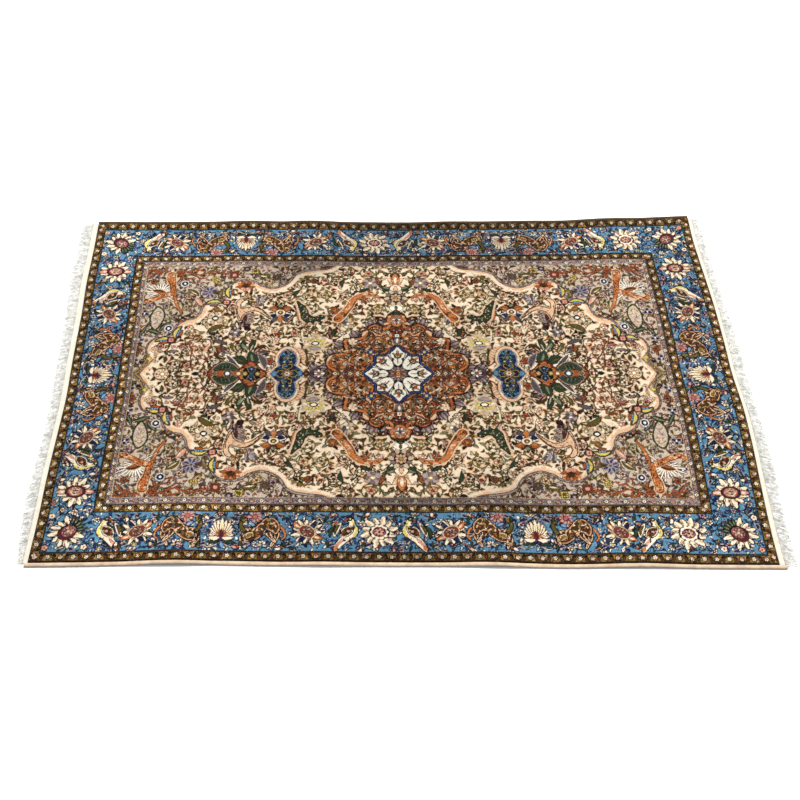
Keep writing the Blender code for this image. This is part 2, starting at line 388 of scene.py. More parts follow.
# ------------------------------------------------------------ border motifs
def ragged_petals(pen, angles, inner, outer, width, dye="cream", rim="dark"):
    """Petals of three points each, with a darker vein."""
    for number, angle in enumerate(angles):
        reach = outer * (1.0, 0.84, 0.94)[number % 3]
        for turn, share in ((-10, 0.84), (10, 0.80), (1, 1.0)):
            foot, tip = polar(inner, angle + 0.3 * turn), polar(share * reach, angle + turn)
            pen.fill(leaf(pen, foot, tip, width, 0, 0.6), dye, rim, 1.7)
        for turn, share in ((-10, 0.66), (10, 0.62), (1, 0.84)):
            pen.fill(leaf(pen, polar(inner, angle), polar(share * reach, angle + turn), 0.62 * width), dye)
        vein = leaf(pen, polar(1.1 * inner, angle), polar(0.72 * reach, angle + 3), 0.30 * width)
        pen.fill(vein, ("gold", "sand")[number % 2])


def ring_flower(pen):
    """Large round palmette: ragged cream petals round a wine ring with a rose heart."""
    ragged_petals(pen, range(0, 360, 33), 18, 55, 14)
    for side in (-1, 1):
        pen.fill(leaf(pen, (20 * side, 0), (54 * side, 2), 15, 0, 0.6), "pink", "brown", 1.6)
        pen.fill(leaf(pen, (28 * side, 0), (46 * side, 2), 5), "cream")
    shape = oval(pen, 0, 0, 27, 20)
    pen.fill(shape, "wine", "dark", 1.4)
    pen.fill(shape + 4.6, "rose")
    inks = ("pink", "sand", "brown", "gold", "mauve", "sand", "rust")
    flecks(pen, shape + 3.0, (-28, 20, -18, 16), inks, 64, 61, 12, 4.0)
    pen.fill(line(pen, [(-14, 2), (-4, 11), (10, 8)], 2.6, 1.6), "cream")
    pen.fill(leaf(pen, (-9, -2), (9, -4), 7), "brown", "sand", 1.4)


def axis_flower(pen):
    """Round palmette of the border's middles: two rings of ragged cream petals and a small rose heart."""
    for angle in range(15, 375, 30):
        reach = 55 - 7 * (angle // 30 % 2)
        for turn in (-9, 9, 0):
            tip = polar(reach - 0.9 * abs(turn), angle + turn)
            pen.fill(leaf(pen, polar(20, angle), tip, 15, 0, 0.5), "cream", "dark", 1.5)
        for turn in (-8, 8, 0):
            tip = polar(reach - 4 - abs(turn), angle + turn)
            pen.fill(leaf(pen, polar(20, angle), tip, 11, 0, 0.6), "cream")
        comma(pen, *polar(34, angle), angle + 20, 12, ("sand", "gold")[angle // 30 % 2], "sand", 0.1, 0.3)
    pen.fill(oval(pen, 0, 0, 28, 24), "dark", "navy", 1.2)
    pen.fill(rosette(pen, 0, 0, 26, 10, 0.22), "cream")
    pen.fill(oval(pen, 0, 0, 17, 14), "rose", "dark", 1.3)
    petal_ring(pen, 0, 0, 6, 3, 15, 7, "pink", "wine", 10)
    pen.fill(oval(pen, 0, 0, 4.4, 3.6), "wine", "sand", 1.0)
    pen.fill(leaf(pen, (0, -42), (0, -54), 7), "brick", "dark", 1.0)


def corner_flower(pen):
    """Corner palmette: a rose oval in a wine crescent, ragged cream petals and a green fan."""
    ragged_petals(pen, (100, 130, 160, 190, 220, 250, 280, 310, 340), 19, 56, 12)
    for angle in (14, 30, 46, 62, 76):
        pen.fill(leaf(pen, polar(20, angle), polar(54, angle), 9), "green", "dark", 1.4)
        pen.fill(leaf(pen, polar(28, angle), polar(48, angle), 3), "sage")
    pen.fill(oval(pen, 0, 0, 30, 25, 45), "dark")
    pen.fill(oval(pen, -1, -2, 27, 22, 45), "wine")
    pen.fill(oval(pen, 3, 4, 20, 17, 45), "rose")
    petal_ring(pen, 3, 4, 7, 4, 17, 8, "pink", "wine", 10, second="mauve")
    pen.fill(oval(pen, 2, 3, 5, 4), "sand", "brown", 1.0)


def diamond_palmette(pen):
    """Palmette with a rose oval, navy flanks and ragged cream petals."""
    ragged_petals(pen, (20, 52, 84, 116, 148, 180, 212, 244, 276, 308, 340), 16, 48, 9)
    for side in (-1, 1):
        pen.fill(leaf(pen, (0, 8 * side), (0, 42 * side), 13, 3 * side), "navy", "dark", 1.0)
        pen.fill(leaf(pen, (18 * side, -6), (50 * side, 4), 14), "orange", "dark", 1.4)
        pen.fill(leaf(pen, (24 * side, -4), (42 * side, 2), 5), "cream")
    pen.fill(oval(pen, 0, 0, 29, 21), "dark")
    pen.fill(oval(pen, 0, 0, 24, 17), "brick", "sand", 1.4)
    petal_ring(pen, 0, 0, 8, 2, 16, 7, "pink", "brown", 0, second="mauve")
    pen.fill(oval(pen, -2, 0, 5, 3.6), "brick", "brown", 1.0)


def lotus(pen):
    """Upright lotus: narrow pale petals fanning from a navy foot round a flame-coloured heart."""
    for angle, reach in ((178, 34), (2, 34), (162, 32), (18, 32), (147, 40), (33, 40), (132, 42),
                         (48, 42), (118, 49), (62, 49), (104, 52), (76, 52), (90, 58)):
        c, s = polar(1, angle)
        petal = leaf(pen, (5 * c, -14 + 5 * s), (reach * c, -14 + reach * s), 10.5, 0, 0.6)
        pen.fill(petal, "cream", "brown", 1.3)
        pen.fill(leaf(pen, (8 * c, -14 + 8 * s), (0.72 * reach * c, -14 + 0.72 * reach * s), 4.4), "yellow")
    for side in (-1, 1):
        pen.fill(leaf(pen, (3 * side, -22), (35 * side, -21), 12, -4 * side), "cream", "brown", 1.4)
    for angle in (20, 42, 66, 90, 114, 138, 160):
        c, s = polar(1, angle)
        reach = 26 if angle == 90 else 21
        pen.fill(leaf(pen, (0, -18), (reach * c, -16 + reach * s), 5.4), "rust" if angle % 4 else "orange")
    pen.fill(leaf(pen, (0, -26), (0, 4), 12), "wine", "brick", 1.2)
    pen.fill(oval(pen, 0, -32, 9, 3.5), "navy")
    for side in (-1, 1):
        pen.fill(leaf(pen, (17 * side, 44), (46 * side, 33), 11, 5 * side), "navy", "lilac", 1.2)
        bud(pen, 42 * side, 48, 90 - 50 * side, 11)
        pen.fill(leaf(pen, (6 * side, -38), (44 * side, -42), 8, 3 * side), "green", "dark", 1.2)
        bud(pen, 46 * side, -30, 90 + 20 * side, 12)
        pen.fill(line(pen, [(12 * side, -45), (34 * side, -54), (58 * side, -40)], 3.0), "sand", "navy", 1.0)


def bird(pen):
    """Standing bird with a yellow breast, brown wing and long tail."""
    body = blob(pen, [(-4, 49), (-13, 42), (-19, 26), (-27, 8), (-24, -8), (-10, -20), (6, -34),
                      (30, -60), (38, -64), (42, -56), (28, -30), (14, -8), (4, 14), (-4, 30), (6, 42)])
    pen.fill(body, "cream", "dark", 1.8)
    pen.fill(line(pen, [(-9, 38), (-16, 22), (-23, 4), (-16, -14)], 7, 7), "yellow")
    pen.fill(line(pen, [(-8, 34), (-13, 20), (-18, 4)], 2.4, 2.0), "cream")
    pen.fill(leaf(pen, (12, -22), (38, -58), 8), "pink", "brick", 0.8)
    pen.fill(leaf(pen, (6, -26), (32, -56), 3), "ivory")
    pen.fill(leaf(pen, (32, -48), (40, -62), 9), "orange", "brick", 1.0)
    wing = leaf(pen, (-14, 16), (20, -16), 25, 2, 0.7)
    pen.fill(wing - 1.6, "cream", "dark", 1.4)
    pen.fill(wing + 0.6, "brown")
    flecks(pen, wing, (-12, 18, -14, 14), ("olive", "dark", "sand", "rust", "green"), 16, 6, 7, 3.4)
    pen.fill(oval(pen, 0, 2, 5, 4), "pink", "dark", 0.9)
    pen.fill(oval(pen, -3, 43, 6.5, 5.5), "green", "dark", 1.0)
    pen.fill(oval(pen, -5, 44, 2.2, 1.8), "cream")
    pen.fill(leaf(pen, (1, 44), (13, 37), 5), "rust", "dark", 1.0)
    for x in (-14, -4):
        pen.fill(line(pen, [(x, -20), (x - 3, -34)], 2.2), "navy")
    for foot, tip, width, dye in (((20, 30), (40, -18), 15, "cream"), ((26, 22), (38, -8), 7, "olive"),
                                  ((40, 20), (52, -20), 9, "green")):
        pen.fill(leaf(pen, foot, tip, width, 4), dye, "dark", 1.3)


def beast(pen):
    """Leaping beast: broken olive, brown and gold flanks with a thin pale outline and a curled tail."""
    coat = ("gold", "brown", "olive", "cream", "rust", "dark", "bronze", "sand", "brown", "peach")
    pen.fill(line(pen, [(-40, 22), (-58, 8), (-66, -14), (-58, -26)], 7, 4), "orange", "dark", 1.3)
    for hip, knee, foot in (((-34, 14), (-42, -14), (-27, -48)), ((-20, 12), (-18, -8), (-38, -34)),
                            ((38, -12), (56, -24), (46, -52)), ((26, -12), (34, -30), (64, -44))):
        leg = line(pen, [hip, knee, foot], 20, 6)
        pen.fill(leg, "peach", "dark", 1.8)
        pen.fill(leg + 2.4, "brown")
        box = (min(hip[0], foot[0]) - 8, max(knee[0], foot[0]) + 8, foot[1], hip[1])
        flecks(pen, leg, box, coat, 26, 8, 7, 3.6)
    body = blob(pen, [(-48, 10), (-44, 30), (-28, 46), (-8, 44), (8, 26), (24, 10), (42, 8), (56, -8),
                      (52, -28), (32, -33), (12, -24), (-6, -8), (-16, 6), (-28, 0), (-40, -8)])
    pen.fill(body, "peach", "dark", 2.0)
    pen.fill(body + 1.6, "rust")
    pen.fill(body + 3.2, "brown")
    flecks(pen, body + 0.6, (-46, 52, -30, 44), coat, 150, 8, 9, 4.0)
    pen.fill(leaf(pen, (26, -4), (54, -20), 17, -2, 0.5), "peach", "dark", 1.6)
    pen.fill(leaf(pen, (28, -6), (51, -19), 12, -2, 0.5), "bronze")
    for x, y, turn in ((30, 2, 120), (40, -2, 60), (46, -24, 260)):
        comma(pen, x, y, turn, 13, "peach", "dark", 0.2, 0.36)
    pen.fill(oval(pen, 44, -13, 2.4, 1.8), "cream", "dark", 1.0)
    for i, (x, y) in enumerate(((-32, 24), (-20, 34), (-24, 16), (4, 12), (22, -8), (6, -8), (-38, 12),
                                (-10, 24))):
        comma(pen, x, y, 70 * i, 13, ("peach", "gold", "rust")[i % 3], "dark", 0.22, 0.36, 0.9)
    pen.fill(line(pen, [(52, 2), (62, 22), (52, 46)], 11, 7), "olive", "dark", 1.6)
    pen.fill(oval(pen, 54, 42, 7, 9), "bronze", "dark", 1.4)
    petal_ring(pen, 22, 50, 9, 6, 22, 9, "pink", "brick", 0, second="lilac")
    pen.fill(oval(pen, 22, 50, 7, 7), "rose", "brick", 1.2)
    pen.fill(leaf(pen, (22, 20), (40, 30), 9), "sky", "navy", 1.6)
    for turn in (50, 90, 130, 200, 340):
        comma(pen, -2, -44, turn, 14, "cream" if turn < 180 else "sand", "navy", 0.12, 0.42)


SEQUENCE = ("bird", "diamond", "beast", "lotus", "beast_mirrored", "diamond_mirrored", "bird_mirrored",
            "axis")
MOTIFS = {
    "bird": (bird, 1, 0), "bird_mirrored": (bird, -1, 0),
    "diamond": (diamond_palmette, 1, 35), "diamond_mirrored": (diamond_palmette, -1, 35),
    "beast": (beast, 1, 0), "beast_mirrored": (beast, -1, 0),
    "lotus": (lotus, 1, 0), "ring": (ring_flower, 1, 90), "axis": (axis_flower, 1, 0),
}
# Places of the big motifs along the long sides and along the ends, from each side's middle
LONG_PLACES = (-849, -763, -647, -525, -410, -283, -166, -78, 16, 126, 238, 368, 481, 613, 705, 808)
END_PLACES = (-464, -358, -266, -132, -15, 119, 252, 341, 453)
END_SEQUENCE = ("ring", "bird", "diamond", "beast", "lotus", "beast_mirrored", "diamond_mirrored",
                "bird_mirrored", "ring")


class Side:
    """One side of the border: its pens' q axis points at the field."""

    def __init__(self, canvas, x, y, turn, flip):
        self.canvas = canvas
        self.x = x
        self.y = y
        self.turn = turn
        self.flip = flip

    def pen(self, along, inward=0.0, turn=0.0, size=1.0, flip=1, reach=74.0):
        base = math.radians(self.turn)
        px, py = math.cos(base) * self.flip, math.sin(base) * self.flip
        qx, qy = -math.sin(base), math.cos(base)
        x = self.x + along * px + inward * qx
        y = self.y + along * py + inward * qy
        pen = Pen(self.canvas, x, y, self.turn + turn * self.flip * flip, size, self.flip * flip, reach)
        pen.rim_scale = BORDER_RIM_SCALE
        return pen


def paint_bands(canvas):
    """For each band: its knots, their place along it, their place across it, and its width."""
    x = canvas.x[None, :]
    y = canvas.y[:, None]
    from_end = HALF_LENGTH - np.abs(x) + 0 * y
    from_side = HALF_WIDTH - np.abs(y) + 0 * x
    end_in, side_in = 0.0 * x, 0.0 * y
    grids = {}
    for name, left, right, front, back in BANDS:
        end_out, side_out = np.where(x < 0, left, right), np.where(y < 0, front, back)
        reach_end = (from_end - end_in) / (end_out - end_in)
        reach_side = (from_side - side_in) / (side_out - side_in)
        depth = np.minimum(reach_end, reach_side)
        band = (depth >= 0) & (depth < 1)
        on_end = reach_end < reach_side
        along = np.where(on_end, y, x)
        width = np.where(on_end, end_out - end_in, side_out - side_in)
        grids[name] = (band, along, (depth - 0.5) * width, width)
        end_in, side_in = end_out, side_out
    return grids


def fill(canvas, mask, dye):
    """Paints the knots of a mask."""
    canvas.dye[mask] = NUMBER[dye]


def paint_guard(canvas, band, along, across, width, shift):
    """Rosettes with a dark vine winding between them on an olive-gold ground."""
    place = along / GUARD_PITCH + shift
    number = np.round(place)
    u = (place - number) * GUARD_PITCH
    odd = number % 2 == 1
    gap = GUARD_PITCH / 2 - np.abs(u)
    across = across * 27.0 / width
    rim = 13.5 - np.abs(across)
    wave = across - 11.0 * np.cos(math.pi * place)
    inner = np.where(np.cos(math.pi * place) > 0, -wave, wave)
    worn = patches(band.shape, 3, np.random.default_rng(GUARD_SEED))
    fill(canvas, band, "bronze")
    fill(canvas, band & (worn > 0.80), "gold")
    fill(canvas, band & (worn < 0.16), "olive")
    fill(canvas, band & (np.abs(inner - 8.0) < 2.0) & (worn > 0.2), "gold")
    fill(canvas, band & (np.abs(inner - 3.8) < 1.8), "olive")
    fill(canvas, band & (np.abs(wave) < 2.2), "dark")
    fill(canvas, band & (gap < 7.4 - 0.8 * np.abs(wave - 7.0)), "dark")
    fill(canvas, band & (gap < 7.4 - 0.8 * np.abs(wave + 7.0)), "brown")
    fill(canvas, band & (np.hypot(gap, across) < 2.0), "brick")
    fill(canvas, band & (rim < 3.4), "brown")
    fill(canvas, band & (rim < 1.8), "dark")
    angle = np.arctan2(across, u)
    radius = np.hypot(u, across)
    edge = 6.6 - 2.2 * np.abs(np.sin(2.5 * angle))
    fill(canvas, band & (radius < edge + 3.2), "dark")
    fill(canvas, band & (radius < edge), "cream")
    fill(canvas, band & (radius < edge) & odd & (across > 0), "pink")
    fill(canvas, band & (radius < 3.2), "brick")
    fill(canvas, band & (radius < 1.5), "ivory")


def paint_stripe(canvas, band, along, across, width):
    """Narrow lilac stripe of pink and cream flowers on a wavy stem."""
    place = along / STRIPE_PITCH + 0.5
    u = (place - np.round(place)) * STRIPE_PITCH
    gap = STRIPE_PITCH / 2 - np.abs(u)
    worn = patches(band.shape, 3, np.random.default_rng(STRIPE_SEED))
    fill(canvas, band, "lilac")
    fill(canvas, band & (worn < 0.30), "mauve")
    fill(canvas, band & (worn > 0.84), "stone")
    fill(canvas, band & (np.abs(across) > 0.5 * width - 3.4), "slate")
    wave = np.abs(across - 3.0 * np.sin(4 * math.pi * along / STRIPE_PITCH))
    fill(canvas, band & (wave < 1.7), "brown")
    for offset, drop, dye in ((9.0, 3.5, "slate"), (12.5, -3.0, "dark"), (17.5, 3.0, "mauve"),
                              (21.5, -3.5, "dark")):
        spot = np.hypot(np.abs(u) - offset, across - drop)
        fill(canvas, band & (spot < 3.2), dye)
        fill(canvas, band & (spot < 1.4), "stone")
    for radius, big, dye in ((gap, 1.0, "pink"), (np.abs(u), 1.1, "cream")):
        radius = np.hypot(radius, across)
        fill(canvas, band & (radius < 6.6 * big), "dark")
        fill(canvas, band & (radius < 4.8 * big), dye)
        fill(canvas, band & (radius < 2.2), "wine")
    fill(canvas, band & (across > 0.5 * width - 1.6), "sand")


# ------------------------------------------------------------ dense ground
def pick(rng, names):
    """One of the names at random."""
    return names[int(rng.integers(len(names)))]


def curled_sprig(pen, rng, stems, leaves, petals, hearts):
    """Hooked stem with leaves and a flower at its end."""
    stem, hand = pick(rng, stems), pick(rng, (-1, 1))
    pen.fill(line(pen, [(-13, -8 * hand), (-6, 1 * hand), (3, 4 * hand), (10, -1 * hand)], 3.0, 2.0), stem)
    for x, y, turn in ((-9, -3, 110), (-3, 3, 60), (3, 4, -70)):
        dx, dy = polar(rng.uniform(7, 11), hand * turn + rng.uniform(-20, 20))
        shape = leaf(pen, (x, y * hand), (x + dx, y * hand + dy), rng.uniform(4.5, 6.5))
        pen.fill(shape, pick(rng, leaves), stem, 1.3)
    radius = rng.uniform(5.0, 7.5)
    shape = rosette(pen, 11, -2 * hand, radius, int(rng.integers(4, 7)), 0.38, rng.uniform(0, 90))
    pen.fill(shape, pick(rng, petals), stem, 1.6)
    pen.fill(oval(pen, 11, -2 * hand, 0.4 * radius, 0.36 * radius), pick(rng, hearts))


def fan_sprig(pen, rng, stems, leaves, petals, hearts):
    """Fan of narrow petals over a cup, with two leaves below."""
    stem, petal, second = pick(rng, stems), pick(rng, petals), pick(rng, petals)
    pen.fill(line(pen, [(0, -14), (1, -4), (0, 2)], 2.6, 2.2), stem)
    for side in (-1, 1):
        shape = leaf(pen, (0, -10), (11 * side, -5 + rng.uniform(-3, 3)), 5.5, 2 * side)
        pen.fill(shape, pick(rng, leaves), stem, 1.3)
    for i, angle in enumerate((25, 155, 55, 125, 90)):
        tip = polar(rng.uniform(10, 13), angle)
        pen.fill(leaf(pen, (0, 0), tip, 5.6, 0, 0.7), petal if i % 2 else second, stem, 1.2)
    pen.fill(oval(pen, 0, 1, 4.2, 3.2), pick(rng, hearts), stem, 1.0)


def split_leaf(pen, rng, stems, leaves, petals, hearts):
    """Two long leaves that part from one foot, one of them with a pale vein."""
    stem, hand = pick(rng, stems), pick(rng, (-1, 1))
    pen.fill(leaf(pen, (-13, -2), (12, 8 * hand), 8.5, 3 * hand), pick(rng, leaves), stem, 1.5)
    pen.fill(leaf(pen, (-7, 0), (7, 6 * hand), 2.6, 2 * hand), pick(rng, hearts))
    pen.fill(leaf(pen, (-13, -2), (8, -10 * hand), 6.5, -3 * hand), pick(rng, leaves), stem, 1.3)
    pen.fill(oval(pen, -12, -2, 3.0, 3.0), pick(rng, petals), stem, 1.2)


def barbed_leaf(pen, rng, stems, leaves, petals, hearts):
    """Spine with short barbs on both sides and a bud at its tip."""
    stem, barb = pick(rng, stems), pick(rng, leaves)
    bend = rng.uniform(-4, 4)
    for i, x in enumerate((-10, -5, 0, 5)):
        for side in (-1, 1):
            pen.fill(leaf(pen, (x, 0.5 * bend), (x + 6, (7.5 - i) * side), 3.4), barb, stem, 0.9)
    pen.fill(line(pen, [(-13, 0), (-4, bend), (9, 0)], 2.2, 1.8), stem)
    pen.fill(leaf(pen, (4, 0), (15, 0), 6.0), pick(rng, petals), stem, 1.3)


def small_palmette(pen, rng, stems, leaves, petals, hearts):
    """Pointed oval in a ring of short petals."""
    stem, petal = pick(rng, stems), pick(rng, petals)
    for angle in range(0, 360, 60):
        pen.fill(leaf(pen, (0, 0), polar(11.5, angle + 30), 7.0, 0, 0.6), petal, stem, 1.3)
    pen.fill(oval(pen, 0, 0, 5.5, 4.4), pick(rng, hearts), stem, 1.4)
    pen.fill(oval(pen, 0, 0, 2.3, 1.8), pick(rng, petals))
    for angle in (0, 180):
        foot, tip = polar(9, angle), polar(16, angle)
        pen.fill(leaf(pen, foot, tip, 5.0), pick(rng, leaves), stem, 1.0)


def scroll(pen, rng, stems, leaves, petals, hearts):
    """Spiral stem with leaves on both sides and a flower at its heart."""
    hand, stem = pick(rng, (-1, 1)), pick(rng, stems)
    points = spiral(0, 0, 27, rng.uniform(0, 360), 1.05, hand, 0.36)
    pen.fill(line(pen, points, 3.6, 2.8), stem)
    for i, (x, y) in enumerate(points[:-2]):
        turn = math.degrees(math.atan2(y, x)) + hand * (48 if i % 2 else 150)
        length = rng.uniform(12, 19)
        comma(pen, x, y, turn, length, pick(rng, leaves), stem, 0.18 * hand, 0.40, 1.5)
        if length > 15.5:
            comma(pen, x, y, turn, 0.6 * length, pick(rng, hearts), None, 0.10 * hand, 0.14)
    big_bloom(pen, rng, 0, 0, rng.uniform(8.5, 11.5), stem, petals, hearts)


def loose_leaf(pen, rng, stems, leaves, petals, hearts):
    """One curved leaf, or a leaf and a bud."""
    comma(pen, -8, 0, rng.uniform(-20, 20), 15, pick(rng, leaves), pick(rng, stems),
          pick(rng, (-0.2, 0.2)), 0.38)
    if rng.uniform() < 0.4:
        pen.fill(oval(pen, 2, 8, 3.4, 2.8), pick(rng, petals), pick(rng, stems), 1.4)


def big_bloom(pen, rng, x, y, radius, stem, petals, hearts):
    """Flower of five to seven separate petals in a dark outline."""
    count, start, petal = int(rng.integers(5, 8)), rng.uniform(0, 90), pick(rng, petals)
    for i in range(count):
        dx, dy = polar(0.62 * radius, start + 360 * i / count)
        shape = oval(pen, x + dx, y + dy, 0.44 * radius, 0.36 * radius, start + 360 * i / count)
        pen.fill(shape, petal, stem, 1.5)
    pen.fill(oval(pen, x, y, 0.36 * radius, 0.34 * radius), pick(rng, hearts), stem, 0.8)


def open_bloom(pen, rng, stems, leaves, petals, hearts):
    """Single flower between two leaves."""
    stem = pick(rng, stems)
    for side in (-1, 1):
        comma(pen, 7 * side, 0, 90 - 90 * side + rng.uniform(-40, 40), 12, pick(rng, leaves), stem, 0.2,
              0.42, 1.4)
    big_bloom(pen, rng, 0, 0, rng.uniform(7.5, 9.5), stem, petals, hearts)


def forked_stem(pen, rng, stems, leaves, petals, hearts):
    """S-shaped stem that carries dark leaves on one side and a curl at its end."""
    stem, hand = pick(rng, stems), pick(rng, (-1, 1))
    path = [(-16, -6 * hand), (-8, 2 * hand), (2, 1 * hand), (9, -6 * hand), (15, -2 * hand), (12, 3 * hand)]
    pen.fill(line(pen, path, 3.2, 2.2), stem)
    for x, y, turn, length in ((-11, 0, 100, 13), (-3, 3, 60, 12), (5, -2, -100, 11), (9, -6, -30, 9)):
        comma(pen, x, y * hand, hand * turn + rng.uniform(-15, 15), length, pick(rng, leaves), stem,
              0.16 * hand, 0.44)


SPRIGS = (curled_sprig, fan_sprig, split_leaf, barbed_leaf, small_palmette, open_bloom, forked_stem,
          forked_stem)


def sow(canvas, ground, box, pitch, seed, makers, dyes, size=1.0, clear=0.0):
    """Sprigs on a loose lattice wherever the ground is free round its points."""
    rng = np.random.default_rng(seed)
    x0, x1, y0, y1 = box
    reach = int(clear / (canvas.x[1] - canvas.x[0]))
    for row, y in enumerate(np.arange(y0, y1, 0.87 * pitch)):
        for x in np.arange(x0 + 0.5 * pitch * (row % 2), x1, pitch):
            px, py = x + rng.uniform(-0.22, 0.22) * pitch, y + rng.uniform(-0.22, 0.22) * pitch
            turn, own = rng.uniform(0, 360), rng.uniform(0.85, 1.1) * size
            maker, seed_here = pick(rng, makers), int(rng.integers(1 << 30))
            column, line_up = int(np.searchsorted(canvas.x, px)), int(np.searchsorted(canvas.y, py))
            near = canvas.dye[max(line_up - reach, 0):line_up + reach + 1,
                              max(column - reach, 0):column + reach + 1]
            if near.size and np.all(near == NUMBER[ground]):
                pen = Pen(canvas, px, py, turn, own, 1, 19.0 if maker is not scroll else 44.0)
                maker(pen, np.random.default_rng(seed_here), *dyes)


def plant(canvas, ground, box, seed, dyes, pitch=60.0, size=1.0):
    """Scrolls over a ground, sprigs in their gaps and loose leaves between those."""
    sow(canvas, ground, box, pitch, seed, (scroll,), dyes, size)
    sow(canvas, ground, box, 0.42 * pitch, seed + 1, SPRIGS, dyes, size, 0.15 * pitch)
    sow(canvas, ground, box, 0.18 * pitch, seed + 2, (loose_leaf,), dyes, 0.85 * size, 0.095 * pitch)


def patches(shape, knots, rng):
    """Values from 0 to 1 that change softly over about the given number of knots."""
    coarse = rng.uniform(-0.25, 1.25, (shape[0] // knots + 2, shape[1] // knots + 2))
    down, along = (np.arange(count) / knots for count in shape)
    i, j = down.astype(int), along.astype(int)
    s, t = (down - i)[:, None], (along - j)[None, :]
    top = coarse[np.ix_(i, j)] * (1 - t) + coarse[np.ix_(i, j + 1)] * t
    low = coarse[np.ix_(i + 1, j)] * (1 - t) + coarse[np.ix_(i + 1, j + 1)] * t
    return np.clip(top * (1 - s) + low * s, 0.0, 1.0)


def flecks(pen, shape, box, dyes, count, seed, length=9.0, width=4.0):
    """Short strokes in many directions inside a shape."""
    rng = np.random.default_rng(seed)
    for _ in range(count):
        x, y = rng.uniform(box[0], box[1]), rng.uniform(box[2], box[3])
        dx, dy = polar(rng.uniform(0.6, 1.2) * length, rng.uniform(0, 360))
        pen.fill(np.maximum(leaf(pen, (x, y), (x + dx, y + dy), width), shape + 2.0), pick(rng, dyes))


def spread(mask):
    """The mask and the knots next to it."""
    wide = mask.copy()
    wide[1:] |= mask[:-1]
    wide[:-1] |= mask[1:]
    wide[:, 1:] |= mask[:, :-1]
    wide[:, :-1] |= mask[:, 1:]
    return wide


def outline_motifs(dye, region, ground, rim, share, halo, halo_share, seed):
    """Broken dark line round everything on a ground, and a soft halo past it."""
    rng = np.random.default_rng(seed)
    here = region & (dye == NUMBER[ground])
    motif = region & ~here
    first = spread(motif)
    ring = first & here
    chance = patches(dye.shape, 6, rng)
    levels = np.linspace(0, share, len(rim) + 1)
    for name, low, high in zip(rim, levels, levels[1:]):
        dye[ring & (chance >= low) & (chance < high)] = NUMBER[name]
    second = spread(spread(first)) & region & (dye == NUMBER[ground])
    dye[second & (patches(dye.shape, 8, rng) < halo_share)] = NUMBER[halo]


def line_edges(dye, region, rim, share, seed, keep):
    """Broken dark lines between the colours inside motifs."""
    rng = np.random.default_rng(seed)
    edge = np.zeros(dye.shape, bool)
    edge[1:] |= dye[1:] != dye[:-1]
    edge[:, 1:] |= dye[:, 1:] != dye[:, :-1]
    for name in keep + ("dark", "brown"):
        edge &= dye != NUMBER[name]
    dye[region & edge & (patches(dye.shape, 7, rng) < share)] = NUMBER[rim]


# Three near dyes that break each dye's flat areas
SHADES = {
    "cream": ("sand", "ivory", "peach"),
    "ivory": ("cream", "sand", "cream"),
    "peach": ("cream", "orange", "sand"),
    "sand": ("cream", "mauve", "gold"),
    "stone": ("sand", "mauve", "cream"),
    "orange": ("rust", "peach", "gold"),
    "rust": ("brick", "orange", "brown"),
    "brick": ("wine", "rust", "brown"),
    "mauve": ("slate", "lilac", "brown"),
    "lilac": ("mauve", "sand", "slate"),
    "slate": ("dark", "mauve", "brown"),
    "green": ("dark", "olive", "teal"),
    "olive": ("brown", "gold", "dark"),
    "sage": ("olive", "sand", "green"),
    "yellow": ("gold", "cream", "olive"),
    "gold": ("olive", "sand", "brown"),
    "bronze": ("olive", "gold", "brown"),
    "blue": ("sky", "teal", "blue"),
    "sky": ("blue", "cream", "slate"),
    "teal": ("navy", "blue", "dark"),
    "navy": ("dark", "teal", "violet"),
    "violet": ("navy", "slate", "lilac"),
    "pink": ("rose", "cream", "peach"),
    "rose": ("brick", "pink", "mauve"),
    "wine": ("dark", "brick", "brown"),
    "brown": ("dark", "olive", "brick"),
    "dark": ("brown", "dark", "slate"),
    "royal": ("navy", "blue", "violet"),
}


def mottle(dye, seed, share):
    """Breaks flat colours with near ones, as a fine knotted drawing does."""
    rng = np.random.default_rng(seed)
    chance = 0.8 * patches(dye.shape, 4, rng) + 0.2 * rng.uniform(0, 1, dye.shape)
    table = np.array([[NUMBER[name] for name in SHADES[dye_name]] for dye_name in DYE_NAMES])
    third = np.quantile(chance, (share / 3, 2 * share / 3, share))
    source = dye.copy()
    low = -1.0
    for number, high in enumerate(third):
        chosen = (chance > low) & (chance <= high)
        dye[chosen] = table[source[chosen], number]
        low = high


def fray(dye, seed, share):
    """Lets some knots take the colour of a neighbour, so that lines are ragged."""
    rng = np.random.default_rng(seed)
    rows, columns = np.indices(dye.shape)
    moved = rng.uniform(0, 1, dye.shape) < share
    rows = np.clip(rows + moved * rng.integers(-1, 2, dye.shape), 0, dye.shape[0] - 1)
    columns = np.clip(columns + moved * rng.integers(-1, 2, dye.shape), 0, dye.shape[1] - 1)
    return dye[rows, columns]


# Dyes of sprigs: those of stems, of leaves, of petals and of hearts
BORDER_DYES = (
    ("navy", "navy", "dark"),
    ("navy", "teal", "cream", "royal", "sky", "cream", "navy", "green", "lilac"),
    ("cream", "pink", "cream", "sand", "sky"),
    ("rust", "navy", "wine", "yellow"),
)


